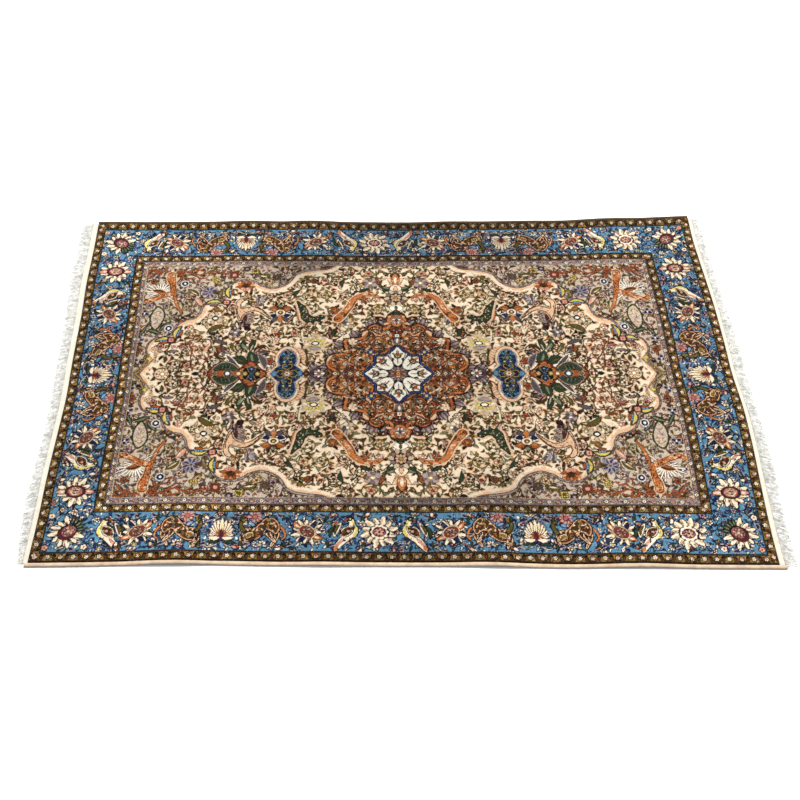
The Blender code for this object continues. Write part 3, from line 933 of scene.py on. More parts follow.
def paint_gap(side, along, number):
    """Flowers and leaves between two big motifs, near both edges of the main band."""
    for inward, hand in ((-52, 1), (52, -1)):
        pen = side.pen(along, inward, 0, reach=40)
        if (number + hand) % 3:
            for turn, length in ((-62, 12), (62, 12), (-26, 15), (26, 15), (0, 19)):
                comma(pen, -8 * hand, -2, turn + 90 * hand + 25 * number, length,
                      ("cream", "sand", "cream", "pink")[number % 4], "navy", 0.12, 0.42, 1.7)
            pen.fill(oval(pen, -8 * hand, 0, 3.4, 3.0), "rust", "dark", 1.0)
        comma(pen, 4 * hand, 2, 20 if hand > 0 else 160, 20, "navy", "lilac", 0.2, 0.40)
        comma(pen, 4 * hand, 2, 100 * hand, 16, "green", "dark", 0.2)


def paint_corner(canvas, x_side, y_side, end_depth, side_depth):
    """Corner palmette with its small flowers, turned towards the field."""
    pen = Pen(canvas, x_side * (HALF_LENGTH - end_depth), y_side * (HALF_WIDTH - side_depth), reach=80)
    pen.p = -x_side * pen.p
    pen.q = -y_side * pen.q
    pen.rim_scale = BORDER_RIM_SCALE
    corner_flower(pen)
    for x, y, dye in ((-54, -52, "pink"), (54, -50, "cream"), (-52, 54, "cream")):
        small_flower(pen, x, y, 9, dye, "rust", 5)
    comma(pen, 30, -56, 160, 20, "navy", "lilac")
    comma(pen, -56, 14, 80, 20, "navy", "lilac")


def paint_border(canvas):
    """Main band of flowers, birds and beasts on blue between guard bands and a narrow stripe."""
    grids = paint_bands(canvas)
    band, _, across, width = grids["main"]
    field = canvas.dye.copy()
    fill(canvas, band, "blue")
    outer, main = (dict(zip(("left", "right", "front", "back"), row[1:])) for row in BANDS[:2])
    left, right, front, back = (0.5 * (outer[end] + main[end]) for end in ("left", "right", "front", "back"))
    sides = (Side(canvas, 0, front - HALF_WIDTH, 0, 1), Side(canvas, 0, HALF_WIDTH - back, 180, -1),
             Side(canvas, left - HALF_LENGTH, 0, -90, -1), Side(canvas, HALF_LENGTH - right, 0, 90, 1))
    box = (-1030, 1030, -680, 680)
    sow(canvas, "blue", box, 42.0, BORDER_SCROLL_SEED, (scroll,), BORDER_DYES, 0.80)
    for index, side in enumerate(sides):
        on_long = index < 2
        places = LONG_PLACES if on_long else END_PLACES
        names = SEQUENCE * 2 if on_long else END_SEQUENCE
        for place, name in zip(places, names):
            motif, flip, turn = MOTIFS[name]
            motif(side.pen(place, 0, turn, 1.0, flip))
        for number, (first, second) in enumerate(zip(places, places[1:])):
            paint_gap(side, 0.5 * (first + second), number)
    for x_side, end_depth in ((-1, left), (1, right)):
        for y_side, side_depth in ((-1, front), (1, back)):
            paint_corner(canvas, x_side, y_side, end_depth, side_depth)
    sow(canvas, "blue", box, 18.0, BORDER_SPRIG_SEED, SPRIGS, BORDER_DYES, 0.84, 6.4)
    sow(canvas, "blue", box, 10.0, BORDER_LEAF_SEED, (loose_leaf,), BORDER_DYES, 0.74, 4.6)
    outline_motifs(canvas.dye, band, "blue", ("navy", "teal"), 0.30, "sky", 0.14, BORDER_HALO_SEED)
    drawn = band & (canvas.dye != NUMBER["blue"])
    line_edges(canvas.dye, drawn, "navy", 0.12, BORDER_LINE_SEED, ("navy", "teal"))
    canvas.dye[~band] = field[~band]
    for edge in (-1, 1):
        fill(canvas, band & (edge * across > 0.5 * width - 2.6), "teal")
        fill(canvas, band & (edge * across > 0.5 * width - 1.3), "dark")
    paint_guard(canvas, *grids["outer_guard"], 0.25)
    paint_guard(canvas, *grids["inner_guard"], 0.5)
    paint_stripe(canvas, *grids["stripe"])


# ------------------------------------------------------------ field
EDGE_SCROLL = (
    (-836, -24), (-806, 34), (-799, 64), (-809, 99), (-804, 131), (-786, 151), (-738, 164), (-728, 188),
    (-714, 213), (-691, 230), (-663, 237), (-644, 257), (-637, 284), (-621, 306), (-596, 314), (-568, 318),
    (-558, 336), (-556, 363), (-545, 388), (-519, 405), (-487, 408), (-459, 398), (-440, 384), (-405, 373),
    (-371, 384), (-348, 403), (-329, 435), (-301, 451), (-260, 459), (-218, 467), (-186, 500),
)


def scroll_crescent(pen):
    """Yellow crescent over a blue fan on the field's edge."""
    pen.fill(leaf(pen, (-32, -6), (32, -6), 22, 10, 0.6), "slate", "dark", 1.2)
    pen.fill(leaf(pen, (-26, -3), (26, -3), 11, 9), "yellow", "dark", 1.6)
    for x in (-10, 0, 10):
        pen.fill(leaf(pen, (0.6 * x, -14), (x, 0), 7), "sky", "navy", 1.2)
    pen.fill(oval(pen, 0, -14, 12, 4.5), "rust", "dark", 1.2)


def knot_flower(pen):
    """Pink flower in a wine ring, where two curls of the edge meet."""
    pen.fill(oval(pen, 0, 0, 14, 12), "wine", "dark", 1.2)
    small_flower(pen, 0, 0, 9, "pink", "rust", 4, 45, "rose")


def spandrel_deer(pen):
    """Leaping deer with branching antlers."""
    for points, start, end in (([(-4, 64), (-26, 76), (-52, 70), (-84, 62)], 5, 3),
                               ([(-40, 72), (-58, 84), (-86, 84)], 4, 3),
                               ([(4, 64), (34, 74), (66, 68), (104, 54)], 6, 3),
                               ([(50, 72), (76, 84), (104, 78)], 4, 3),
                               ([(70, 68), (96, 42), (120, 44)], 4, 3), ([(22, 70), (30, 88)], 4, 3),
                               ([(-22, 72), (-28, 88)], 4, 3), ([(96, 56), (124, 68), (146, 56)], 4, 3),
                               ([(-66, 62), (-80, 44), (-92, 36)], 4, 3),
                               ([(28, 62), (44, 46), (60, 40)], 4, 3),
                               ([(100, 60), (140, 74), (180, 62), (214, 70)], 4, 3)):
        pen.fill(line(pen, points, start, end), "rust", "brown", 1.2)
    for x in range(-84, 200, 24):
        comma(pen, x, 70, 40 + x % 50, 12, ("rust", "peach", "brick")[x % 3], "brown")
    body = blob(pen, [(-14, 64), (-2, 70), (8, 62), (9, 40), (13, 12), (12, -14), (2, -24), (-2, -4),
                      (-5, 14), (-14, 34)])
    back_leg = line(pen, [(8, -6), (16, -46), (26, -84), (46, -118)], 12, 5)
    front_leg = line(pen, [(4, -30), (-20, -38), (-50, -54), (-80, -64), (-96, -54)], 17, 12)
    for part in (body - 5, back_leg - 3, front_leg - 4):
        pen.fill(part, "peach")
    for part, box in ((back_leg, (4, 50, -118, -6)), (front_leg, (-98, 8, -76, -22)),
                      (body, (-16, 14, -26, 70))):
        pen.fill(part, "orange", "brown", 1.8)
        flecks(pen, part, box, ("rust", "peach", "brick", "rust", "brown", "rust"), 60, 12, 11, 4.0)


def ribbed_fan(pen, radius, first, last, count, dye="ivory", rib="brown"):
    """Fan of pale rays with a dark line beside each."""
    for angle in np.linspace(first, last, count):
        reach = radius * (0.8 + 0.2 * math.cos(3 * angle))
        ray = line(pen, [polar(0.24 * radius, angle), polar(reach, angle)], 4.2, 3.0, False)
        pen.fill(ray, dye, rib, 1.1)


def pale_leaf(pen):
    """Broad cream leaf in a dark green rim on a green calyx."""
    for foot, tip, width in (((-30, -58), (14, -74), 17), ((10, -60), (46, -22), 15),
                             ((-36, -40), (-60, -84), 11)):
        pen.fill(leaf(pen, foot, tip, width, 3), "green", "dark", 1.2)
        pen.fill(leaf(pen, foot, tip, 0.3 * width, 3), "sage")
    outline = blob(pen, [(-4, 42), (16, 26), (22, -4), (10, -40), (-6, -58), (-24, -36), (-28, -4),
                         (-20, 26)])
    pen.fill(outline, "green", "dark", 0.8)
    pen.fill(outline + 4.4, "sand")
    pen.fill(outline + 7.0, "stone")
    inks = ("cream", "sand", "lilac", "cream", "mauve")
    flecks(pen, outline + 5.0, (-20, 16, -44, 34), inks, 40, 13, 11, 4.0)
    for y in (-34, -18, -2, 14):
        pen.fill(line(pen, [(-14, y), (-3, y + 8), (9, y)], 2.2, 1.8), "mauve")


def pen_on(canvas):
    """Pen over the whole canvas in the canvas' own axes."""
    return Pen(canvas, 0, 0, reach=2000)


SPANDREL_DYES = (
    ("brown", "slate", "olive", "brown"),
    ("olive", "sage", "brown", "mauve", "stone", "green", "slate", "sand", "rust"),
    ("pink", "cream", "lilac", "rust", "peach", "stone"),
    ("brown", "brick", "wine", "navy"),
)


def paint_spandrel(quarter):
    """Corner of the field outside its scalloped edge; gives the distance from that edge."""
    whole = pen_on(quarter)
    points = [tuple(point) for point in curve(EDGE_SCROLL, 4)] + [(-900, 540), (-900, -60), (-850, -60)]
    edge = blob(whole, points, smooth=False)
    whole.fill(edge, "stone")
    plant(quarter, "stone", (-880, -150, -10, 510), SPANDREL_SEED, SPANDREL_DYES, 58.0, 1.0)
    for x, y in ((-835, 366), (-832, 258), (-845, 62), (-838, 150)):
        pen = Pen(quarter, x, y, reach=26)
        for angle in (90, 200, 340):
            pen.fill(oval(pen, *polar(8, angle), 7.0, 5.0, angle), "navy", "lilac", 1.6)
        pen.fill(oval(pen, 0, 0, 2.6, 2.6), "ivory")
    pen = Pen(quarter, -786, 352, reach=80)
    ribbed_fan(pen, 64, -40, 200, 17)
    pen.fill(leaf(pen, (-30, 12), (24, -8), 20, 3), "brown", "cream", 2.0)
    pen.fill(leaf(pen, (-22, 8), (18, -6), 9), "rust")
    spandrel_deer(Pen(quarter, -752, 378, reach=230))
    pale_leaf(Pen(quarter, -784, 246, reach=96))
    for x, y in ((-706, 395), (-745, 196)):
        pen = Pen(quarter, x, y, reach=30)
        petal_ring(pen, 0, 0, 8, 5, 19, 9, "lilac", "slate", 0)
        pen.fill(oval(pen, 0, 0, 11.5, 11.5), "navy", "ivory", 1.4)
        pen.fill(oval(pen, 0, 0, 4, 4), "ivory")
    pen = Pen(quarter, -616, 352, reach=50)
    for angle in range(20, 380, 45):
        pen.fill(leaf(pen, polar(6, angle), polar(29, angle), 9, 3), "violet", "lilac", 1.6)
        pen.fill(leaf(pen, polar(8, angle), polar(26, angle), 4, 3), "navy")
    pen.fill(oval(pen, 0, 0, 5, 5), "olive")
    for x, y, radius, dye, heart in ((-602, 418, 13, "yellow", "gold"), (-466, 452, 13, "yellow", "olive"),
                                     (-368, 414, 12, "lilac", "wine"), (-536, 433, 20, "brick", "pink"),
                                     (-392, 424, 17, "slate", "olive"), (-494, 462, 13, "navy", "lilac")):
        pen = Pen(quarter, x, y, reach=30)
        petal_ring(pen, 0, 0, 8, 3, radius, 0.5 * radius, dye, "brown", 0)
        pen.fill(oval(pen, 0, 0, 0.36 * radius, 0.34 * radius), heart, "brown", 1.2)
    for x, y, turn, dye in ((-436, 428, -10, "olive"), (-672, 351, -38, "olive"), (-652, 306, -50, "pink")):
        pen = Pen(quarter, x, y, turn, reach=40)
        pen.fill(leaf(pen, (-26, 0), (24, 0), 17, 3), dye, "dark", 1.3)
        pen.fill(leaf(pen, (-18, 0), (16, 0), 5), "cream")
    return edge


def paint_edge_halo(quarter, edge):
    """Plain band on the field's side of the spandrel: peach by the scroll and cream past it."""
    wander = 5.0 * patches(quarter.dye.shape, 26, np.random.default_rng(EDGE_HALO_SEED))
    quarter.dye[(edge > 0) & (edge < 20 + wander)] = NUMBER["cream"]
    quarter.dye[(edge > 0) & (edge < 5 + 2 * wander)] = NUMBER["peach"]


def paint_edge_scroll(quarter):
    """Worn scroll along the field's edge, with crescents and flowers on it."""
    whole = pen_on(quarter)
    distance = line(whole, EDGE_SCROLL, 5.0, 8.4)
    whole.fill(distance, "slate", "brown", 0.9)
    worn = patches(quarter.dye.shape, 5, np.random.default_rng(EDGE_WEAR_SEED))
    for low, high, dye in ((0.0, 0.45, "lilac"), (0.45, 0.62, "bronze"), (0.62, 0.78, "mauve")):
        quarter.dye[(distance < -1.5) & (worn >= low) & (worn < high)] = NUMBER[dye]
    for foot, knee, tip in (((-852, -6), (-812, 40), (-798, 84)), ((-838, -6), (-800, 36), (-782, 60))):
        whole.fill(line(whole, [foot, knee, tip], 4.0, 3.0), "gold", "slate", 1.2)
    whole.fill(np.abs(whole.p + 796) + np.abs(whole.q - 66) - 9, "yellow", "dark", 1.6)
    for x, y, turn in ((-598, 304, 3), (-550, 352, 88), (-755, 147, 3), (-714, 178, 74)):
        scroll_crescent(Pen(quarter, x, y, turn, 0.95, 1, 46))
    for x, y in ((-731, 146), (-556, 304)):
        knot_flower(Pen(quarter, x, y, reach=24))


def crane(pen):
    """Crane with a curved neck, a barred wing and a hanging tail."""
    for i, x in enumerate(np.linspace(-50, 0, 10)):
        tip = (0.8 * x - 12, -72 - 14 * math.sin(1.7 * i))
        plume = leaf(pen, (x, 4 - 0.6 * abs(x + 20)), tip, 8.0, 0, 0.5)
        pen.fill(plume, ("brown", "mauve", "wine")[i % 3], "dark", 0.9)
    for i in range(8):
        q = -12 - 7.5 * i
        bar = line(pen, [(-26, q + 5), (-12, q + 3), (4, q - 5)], 3.0, 2.2)
        pen.fill(bar, ("stone", "lilac", "sand")[i % 3])
    pen.fill(leaf(pen, (-34, 2), (-24, -50), 15, -3, 0.7), "wine", "brown", 1.2)
    body = blob(pen, [(-66, 34), (-58, 54), (-42, 62), (-32, 58), (-44, 48), (-52, 30), (-46, 8),
                      (-22, 16), (10, 18), (34, 5), (66, -36), (34, -10), (12, 2), (-6, 2), (-28, -8),
                      (-42, -26), (-50, -48), (-62, -10)])
    pen.fill(body - 7, "cream")
    pen.fill(body, "peach", "brown", 2.4)
    inks = ("cream", "brown", "orange", "bronze", "pink", "rust", "brown")
    flecks(pen, body, (-64, 60, -46, 60), inks, 120, 21, 12, 3.2)
    pen.fill(line(pen, [(8, 19), (32, 6), (58, -28), (72, -46)], 3.6, 2.6), "brown")
    pen.fill(line(pen, [(-62, 24), (-60, -8), (-48, -40), (-32, -58)], 3.6, 4), "brown")
    pen.fill(oval(pen, -34, 60, 5, 4.0, 30), "orange", "brown", 1.1)
    pen.fill(leaf(pen, (-32, 62), (-14, 68), 5), "dark")
    for x in (-24, -12, 10):
        pen.fill(line(pen, [(x, 24), (x + 5, 46), (x - 5, 72)], 3.4, 2.6), ("olive", "green")[x % 2])
        comma(pen, x + 2, 40, 40, 13, "olive", "dark")
    for i, angle in enumerate((104, 92, 80, 68, 56)):
        dx, dy = polar(56 + 4 * math.sin(2.3 * i), angle)
        feather = leaf(pen, (24, 24), (24 + dx, 24 + dy), 11, 2, 0.5)
        pen.fill(feather, ("lilac", "slate", "stone")[i % 3], "slate", 0.6)
    inks = ("lilac", "slate", "teal", "cream")
    flecks(pen, oval(pen, 28, 54, 20, 26), (6, 48, 28, 82), inks, 22, 23, 14, 3.0)


def dome_flower(pen):
    """Half-open rust flower over pink leaves."""
    for angle in (0, 30, 60, 90, 120, 150, 180):
        pen.fill(leaf(pen, (0, -6), polar(31, angle), 13), ("rust", "orange")[angle // 30 % 2], "brown", 1.2)
    for angle in (15, 45, 75, 105, 135, 165):
        pen.fill(leaf(pen, (0, -4), polar(20, angle), 6), "brown")
    pen.fill(oval(pen, 0, -4, 6, 5), "dark")
    for angle in (215, 250, 290, 325):
        pen.fill(leaf(pen, (0, -8), polar(22, angle), 9), "pink", "rust", 1.0)


def spotted_bird(pen):
    """Dark green long-tailed bird with pale spots."""
    tail = line(pen, [(-50, 76), (-48, 40), (-50, 0), (-40, -34), (-14, -52)], 5, 6)
    pen.fill(tail, "orange", "brown", 1.2)
    body = blob(pen, [(-52, 94), (-42, 80), (-28, 60), (-16, 34), (-10, 6), (4, -12), (22, -12), (34, -2),
                      (46, -8), (44, -24), (26, -36), (2, -44), (-18, -42), (-32, -24), (-36, 4), (-42, 40)])
    pen.fill(body - 9, "peach", "sand", 1.6)
    pen.fill(body - 5, "cream")
    pen.fill(body, "green", "dark", 2.4)
    box = (-50, 46, -46, 92)
    flecks(pen, body - 1, box, ("dark", "dark", "sage", "dark", "olive", "peach", "cream"), 170, 3, 10, 3.6)
    for x, y in ((-26, 44), (-30, 22), (-18, 16), (-26, 2), (-14, -10), (-22, -24), (-4, -26), (10, -24),
                 (24, -26)):
        pen.fill(oval(pen, x, y, 2.6, 2.2), ("cream", "orange")[x % 2], "dark", 1.2)
    for foot, tip in (((-18, -40), (-12, -54)), ((2, -42), (10, -56)), ((26, -34), (36, -46)),
                      ((-34, 50), (-20, 62))):
        pen.fill(leaf(pen, foot, tip, 9), "green", "dark", 1.6)
    pen.fill(oval(pen, 40, -10, 8, 7), "green", "dark", 1.6)
    pen.fill(leaf(pen, (46, -8), (62, -2), 6), "gold", "dark", 1.2)
    pen.fill(oval(pen, 41, -8, 2.2, 2.2), "ivory")


def slender_beast(pen):
    """Leaping orange beast with a long neck."""
    for foot in ((-98, -80), (-78, -92)):
        pen.fill(line(pen, [(-76, -58), foot], 8, 4, False), "orange", "brown", 1.1)
    path = line(pen, [(-84, -64), (-68, -44), (-50, -12), (-34, 24), (-6, 43), (26, 42)], 22, 9)
    pen.fill(path - 6, "peach")
    pen.fill(path, "orange", "brown", 1.3)
    flecks(pen, path, (-98, 30, -74, 50), ("rust", "peach", "gold", "orange", "sand"), 60, 27, 12, 3.6)
    pen.fill(line(pen, [(-66, -54), (-44, -22), (-26, 16), (-4, 36)], 3.4, 2.6), "brown")
    pen.fill(leaf(pen, (18, 46), (52, 30), 11, 2), "orange", "brown", 1.5)
    pen.fill(oval(pen, 34, 40, 2.6, 2.2), "dark")
    pen.fill(leaf(pen, (14, 46), (16, 62), 6), "rust", "brown", 1.0)
    for foot in ((-10, 6), (14, 10)):
        pen.fill(line(pen, [(-4, 38), foot], 5, 3, False), "rust", "brown", 0.9)


def big_flower(pen, radius, petal, second, heart, petals):
    """Open flower with a ring of petals in two dyes."""
    petal_ring(pen, 0, 0, petals, 0.3 * radius, radius, 0.72 * radius, petal, "brown", 10, second=second)
    pen.fill(oval(pen, 0, 0, 0.42 * radius, 0.34 * radius), heart)
    pen.fill(oval(pen, 0, 0, 0.24 * radius, 0.16 * radius), "ivory")


def yellow_bloom(pen):
    """Broad pale flower: ragged yellow and cream petals round a white oval in a black ring."""
    petal_ring(pen, 0, 0, 13, 8, 43, 15, "cream", "sand", 8, second="sand")
    petal_ring(pen, 0, 0, 11, 8, 36, 11, "yellow", "sand", 20, second="cream")
    petal_ring(pen, 0, 0, 9, 8, 24, 8, "cream", "gold", 2, second="yellow")
    pen.fill(leaf(pen, (-22, -16), (18, -20), 13, -4), "lilac", "slate", 1.4)
    pen.fill(oval(pen, 0, 0, 14, 9), "dark")
    pen.fill(oval(pen, 0, 0, 9, 5.5), "ivory")


def composite_palmette(pen):
    """Winged palmette: brown fan, navy and white wings, wine heart."""
    for angle in (60, 90, 120):
        pen.fill(leaf(pen, (0, 8), polar(40, angle), 17), "brown", "dark", 1.2)
    for side in (-1, 1):
        pen.fill(leaf(pen, (8 * side, 6), (38 * side, 22), 20, 5 * side), "rust", "dark", 1.4)
        pen.fill(leaf(pen, (8 * side, -6), (36 * side, -8), 17, -4 * side), "navy", "ivory", 1.6)
        pen.fill(leaf(pen, (8 * side, -16), (26 * side, -34), 14), "slate", "dark", 1.2)
        pen.fill(leaf(pen, (12 * side, 10), (30 * side, 18), 7), "gold")
    pen.fill(oval(pen, 0, 2, 16, 13), "cream", "dark", 1.6)
    pen.fill(oval(pen, 0, 2, 9, 8), "wine")
    pen.fill(oval(pen, 0, 3, 4, 3.4), "yellow")
    pen.fill(leaf(pen, (0, -12), (0, -38), 17), "orange", "brown", 1.4)
    pen.fill(oval(pen, 0, 30, 7, 6), "sage", "dark", 1.2)


def horned_beast(pen):
    """Horned beast drawn in broken rust-red lines, turned in a knot."""
    body = blob(pen, [(-30, 30), (-6, 32), (20, 30), (38, 34), (40, 10), (30, -2), (34, -30), (20, -50),
                      (0, -52), (-14, -30), (-22, 0)])
    pen.fill(body - 3, "cream")
    for points, start, end in (([(-26, 26), (-48, 16), (-70, 0)], 4, 3),
                               ([(-20, 30), (-8, 56), (12, 46), (2, 34)], 4, 3),
                               ([(0, -44), (8, -66), (-8, -86)], 6, 3),
                               ([(24, -30), (34, -54), (22, -76)], 5, 3),
                               ([(-14, -4), (-20, -40), (-14, -66)], 4, 3),
                               ([(-40, 20), (-44, 40), (-30, 52)], 4, 3),
                               ([(-30, 30), (0, 34), (38, 34), (44, 8), (36, -20), (48, -50)], 4, 3),
                               ([(-24, 0), (-12, -30), (4, -50), (22, -46)], 4, 3),
                               ([(-30, 28), (-24, 4), (-6, 8), (6, -14)], 4, 3)):
        pen.fill(line(pen, points, 0.8 * start, 0.8 * end), "brick", "brown", 0.5)
    inks = ("brick", "rust", "sage", "cream", "brick", "olive", "pink")
    flecks(pen, body - 6, (-44, 50, -60, 50), inks, 70, 91, 15, 3.6)
    for x, y, turn, dye in ((-20, 22, 200, "rust"), (-4, 24, 10, "olive"), (14, 18, 60, "brick"),
                            (28, 22, 100, "sage"), (-10, 6, 250, "peach"), (6, 2, 300, "rust"),
                            (20, -4, 240, "olive"), (-8, -16, 20, "brick"), (8, -20, 80, "sand"),
                            (20, -30, 200, "rust"), (0, -36, 330, "olive"), (30, 4, 150, "brick")):
        comma(pen, x, y, turn, 15, dye, "brown", 0.2, 0.36)


def cartouche(quarter):
    """Dark blue cartouche of two round lobes and pointed flanks, with a peach halo and ribbed crescents."""
    pen = Pen(quarter, -343, 0, reach=150)
    for side in (-1, 1):
        pen.fill(line(pen, [(34, 104 * side), (54, 92 * side), (62, 66 * side)], 9, 5), "green", "dark", 0.8)
        crescent = line(pen, [(22, 104 * side), (44, 92 * side), (52, 66 * side), (50, 54 * side)], 15, 9)
        pen.fill(crescent, "peach", "sand", 1.0)
        for x, y in ((28, 103), (36, 97), (44, 89), (49, 79), (51, 68), (51, 60)):
            pen.fill(line(pen, [(x - 5, (y - 4) * side), (x + 7, (y + 4) * side)], 2.4, 1.6, False), "rust")
    lobes = np.minimum(oval(pen, 0, 60, 30, 42), oval(pen, 0, -60, 30, 42))
    shape = np.minimum(lobes, leaf(pen, (-54, 0), (54, 0), 88, 0, 0.85))
    pen.fill(shape - 9.5, "peach", "brown", 1.3)
    pen.fill(shape - 6.0, "cream")
    pen.fill(shape, "sky", "brick", 1.4)
    pen.fill(shape + 2.2, "navy")
    ink = ("dark", "royal", "dark", "green", "blue", "dark", "dark", "teal", "navy")
    flecks(pen, shape + 1.2, (-44, 44, -4, 100), ink, 200, 33, 13, 4.6)
    for side in (-1, 1):
        pen.fill(leaf(pen, (50 * side, 0), (30 * side, 6), 14), "blue", "navy", 1.2)
        comma(pen, 20 * side, 40, 90 + 10 * side, 24, "teal", "dark", 0.2 * side, 0.20)
        comma(pen, 12 * side, 64, 90 + 30 * side, 18, "royal", "sage", 0.2 * side, 0.26)
        stem = line(pen, [(4 * side, 20), (15 * side, 28), (12 * side, 40), (4 * side, 38)], 3.2, 2.4)
        pen.fill(stem, "gold", "dark", 1.2)
        pen.fill(line(pen, [(12 * side, 12), (26 * side, 14), (32 * side, 4)], 3.2, 2.2), "gold", "dark", 1.2)
        pen.fill(oval(pen, 10 * side, 50, 3.4, 3.0), "yellow", "dark", 1.2)
    pen.fill(np.abs(pen.p) + np.abs(pen.q) - 20, "gold", "dark", 1.6)
    pen.fill(np.abs(pen.p) + np.abs(pen.q) - 16, "dark")
    small_flower(pen, 0, 0, 10, "cream", "mauve", 6, 0, "violet")
    pen.fill(oval(pen, 0, 66, 5, 7), "sage", "dark", 1.4)
    for x, y, dye in ((-13, 86, "blue"), (13, 86, "blue"), (0, 96, "sage")):
        comma(pen, 0.6 * x, y - 8, 90 - 2.4 * x, 15, dye, "dark", 0.0, 0.36)


def rust_pendant(quarter):
    """Rust pendant: a long part between green leaves and a diamond lobe."""
    pen = Pen(quarter, -500, 0, reach=140)
    pen.fill(leaf(pen, (-20, 66), (24, 42), 34, 6, 0.7), "green", "dark", 1.5)
    pen.fill(leaf(pen, (-12, 62), (16, 48), 7, 2), "olive", "dark", 1.0)
    pen.fill(leaf(pen, (34, 96), (50, 30), 34, 4, 0.8), "green", "dark", 1.5)
    pen.fill(leaf(pen, (38, 86), (48, 42), 8, 0), "sage", "dark", 1.0)
    pen.fill(leaf(pen, (62, 84), (86, 22), 19, 6), "slate", "lilac", 1.6)
    pen.fill(leaf(pen, (-42, 82), (0, 34), 14, -3), "slate", "ivory", 1.6)
    arc = blob(pen, [(-98, 0), (-84, 26), (-62, 44), (-40, 50), (-16, 44), (4, 26), (8, 0), (4, -26),
                     (-16, -46), (-62, -44), (-84, -26)])
    pen.fill(arc, "brick", "dark", 1.8)
    pen.fill(arc + 6, "orange")
    pen.fill(arc + 8.5, "brick")
    upper = leaf(pen, (-82, 16), (4, 16), 40, 12, 0.7)
    pen.fill(upper, "green", "sand", 1.8)
    pen.fill(upper + 4, "slate")
    pen.fill(upper + 6.5, "green")
    pen.fill(leaf(pen, (-60, 25), (-20, 26), 6, 2), "dark")
    for x in (-52, -40, -28):
        pen.fill(line(pen, [(x, 20), (x + 5, 34)], 1.8, 1.4), "sage")
    pen.fill(leaf(pen, (-96, 0), (6, 0), 26, 0, 0.6), "rust", "dark", 1.8)
    pen.fill(oval(pen, -74, 0, 10, 9), "sand", "dark", 1.6)
    small_flower(pen, -74, 0, 6, "olive", "gold", 4)
    pen.fill(rosette(pen, -32, 0, 15, 6, 0.25), "navy", "gold", 1.4)
    pen.fill(oval(pen, -32, 0, 6, 6), "ivory", "sky", 1.6)
    lobe = blob(pen, [(0, 6), (14, 30), (34, 52), (54, 46), (70, 24), (94, 0), (70, -24), (54, -46),
                      (34, -52), (14, -30)])
    pen.fill(lobe, "brick", "dark", 1.8)
    pen.fill(lobe + 5, "orange", "brown", 1.0)
    pen.fill(lobe + 9, "rust")
    pen.fill(rosette(pen, 44, 0, 32, 4, 0.35, 45), "dark", "gold", 1.4)
    for y in (-20, 20):
        pen.fill(rosette(pen, 44, y, 13, 5, 0.3, 90), "navy", "gold", 1.2)
        pen.fill(oval(pen, 44, y, 3, 3), "sky")
    for x in (24, 64):
        pen.fill(oval(pen, x, 0, 7.5, 8), "gold", "dark", 1.8)
        pen.fill(oval(pen, x, 0, 3.6, 4), "sand")
    pen.fill(oval(pen, 44, 0, 7, 8), "teal", "dark", 1.2)
    pen.fill(oval(pen, 3, 0, 6, 7), "cream", "olive", 2.0)
    for x, y in ((18, 26), (70, 14), (30, 42), (58, 36)):
        pen.fill(oval(pen, x, y, 3.6, 3.6), "dark")


def side_drop(quarter):
    """Small pointed drop between the cartouche and the medallion."""
    pen = Pen(quarter, -242, 0, reach=80)
    for angle in (55, 125):
        lobed_leaf(pen, *polar(20, angle), angle, 24)
    shape = np.abs(pen.p) * 0.9 + np.abs(pen.q) - 30
    pen.fill(shape, "slate", "dark", 2.0)
    pen.fill(shape + 5, "wine")
    petal_ring(pen, 0, 0, 8, 5, 19, 8, "ivory", "dark", 0, second="lilac")
    pen.fill(oval(pen, 0, 0, 5.0, 5.0), "rust", "dark", 1.2)
    pen = Pen(quarter, -283, 0, reach=30)
    pen.fill(np.abs(pen.p) + np.abs(pen.q) - 12, "brown", "dark", 2.0)
    pen.fill(np.abs(pen.p) + np.abs(pen.q) - 5, "rust")


MEDALLION = (
    (0, 268), (-14, 252), (-29, 240), (-29, 204), (-42, 197), (-63, 210), (-90, 201), (-108, 166),
    (-120, 155), (-146, 150), (-165, 147), (-169, 131), (-164, 93), (-177, 86), (-205, 79), (-219, 56),
    (-216, 27), (-197, 8), (-212, 0),
)


def lobed_leaf(pen, x, y, turn, size, dye="mauve"):
    """Scalloped leaf of round lobes with dark veins."""
    for angle, reach in ((-64, 0.74), (64, 0.74), (-32, 0.95), (32, 0.95), (0, 1.1)):
        dx, dy = polar(size * reach, turn + angle)
        shape = leaf(pen, (x, y), (x + dx, y + dy), 0.50 * size, 0, 0.6)
        pen.fill(shape, dye, "dark", 1.9)
        pen.fill(leaf(pen, (x + 0.4 * dx, y + 0.4 * dy), (x + dx, y + dy), 0.2 * size), "lilac")


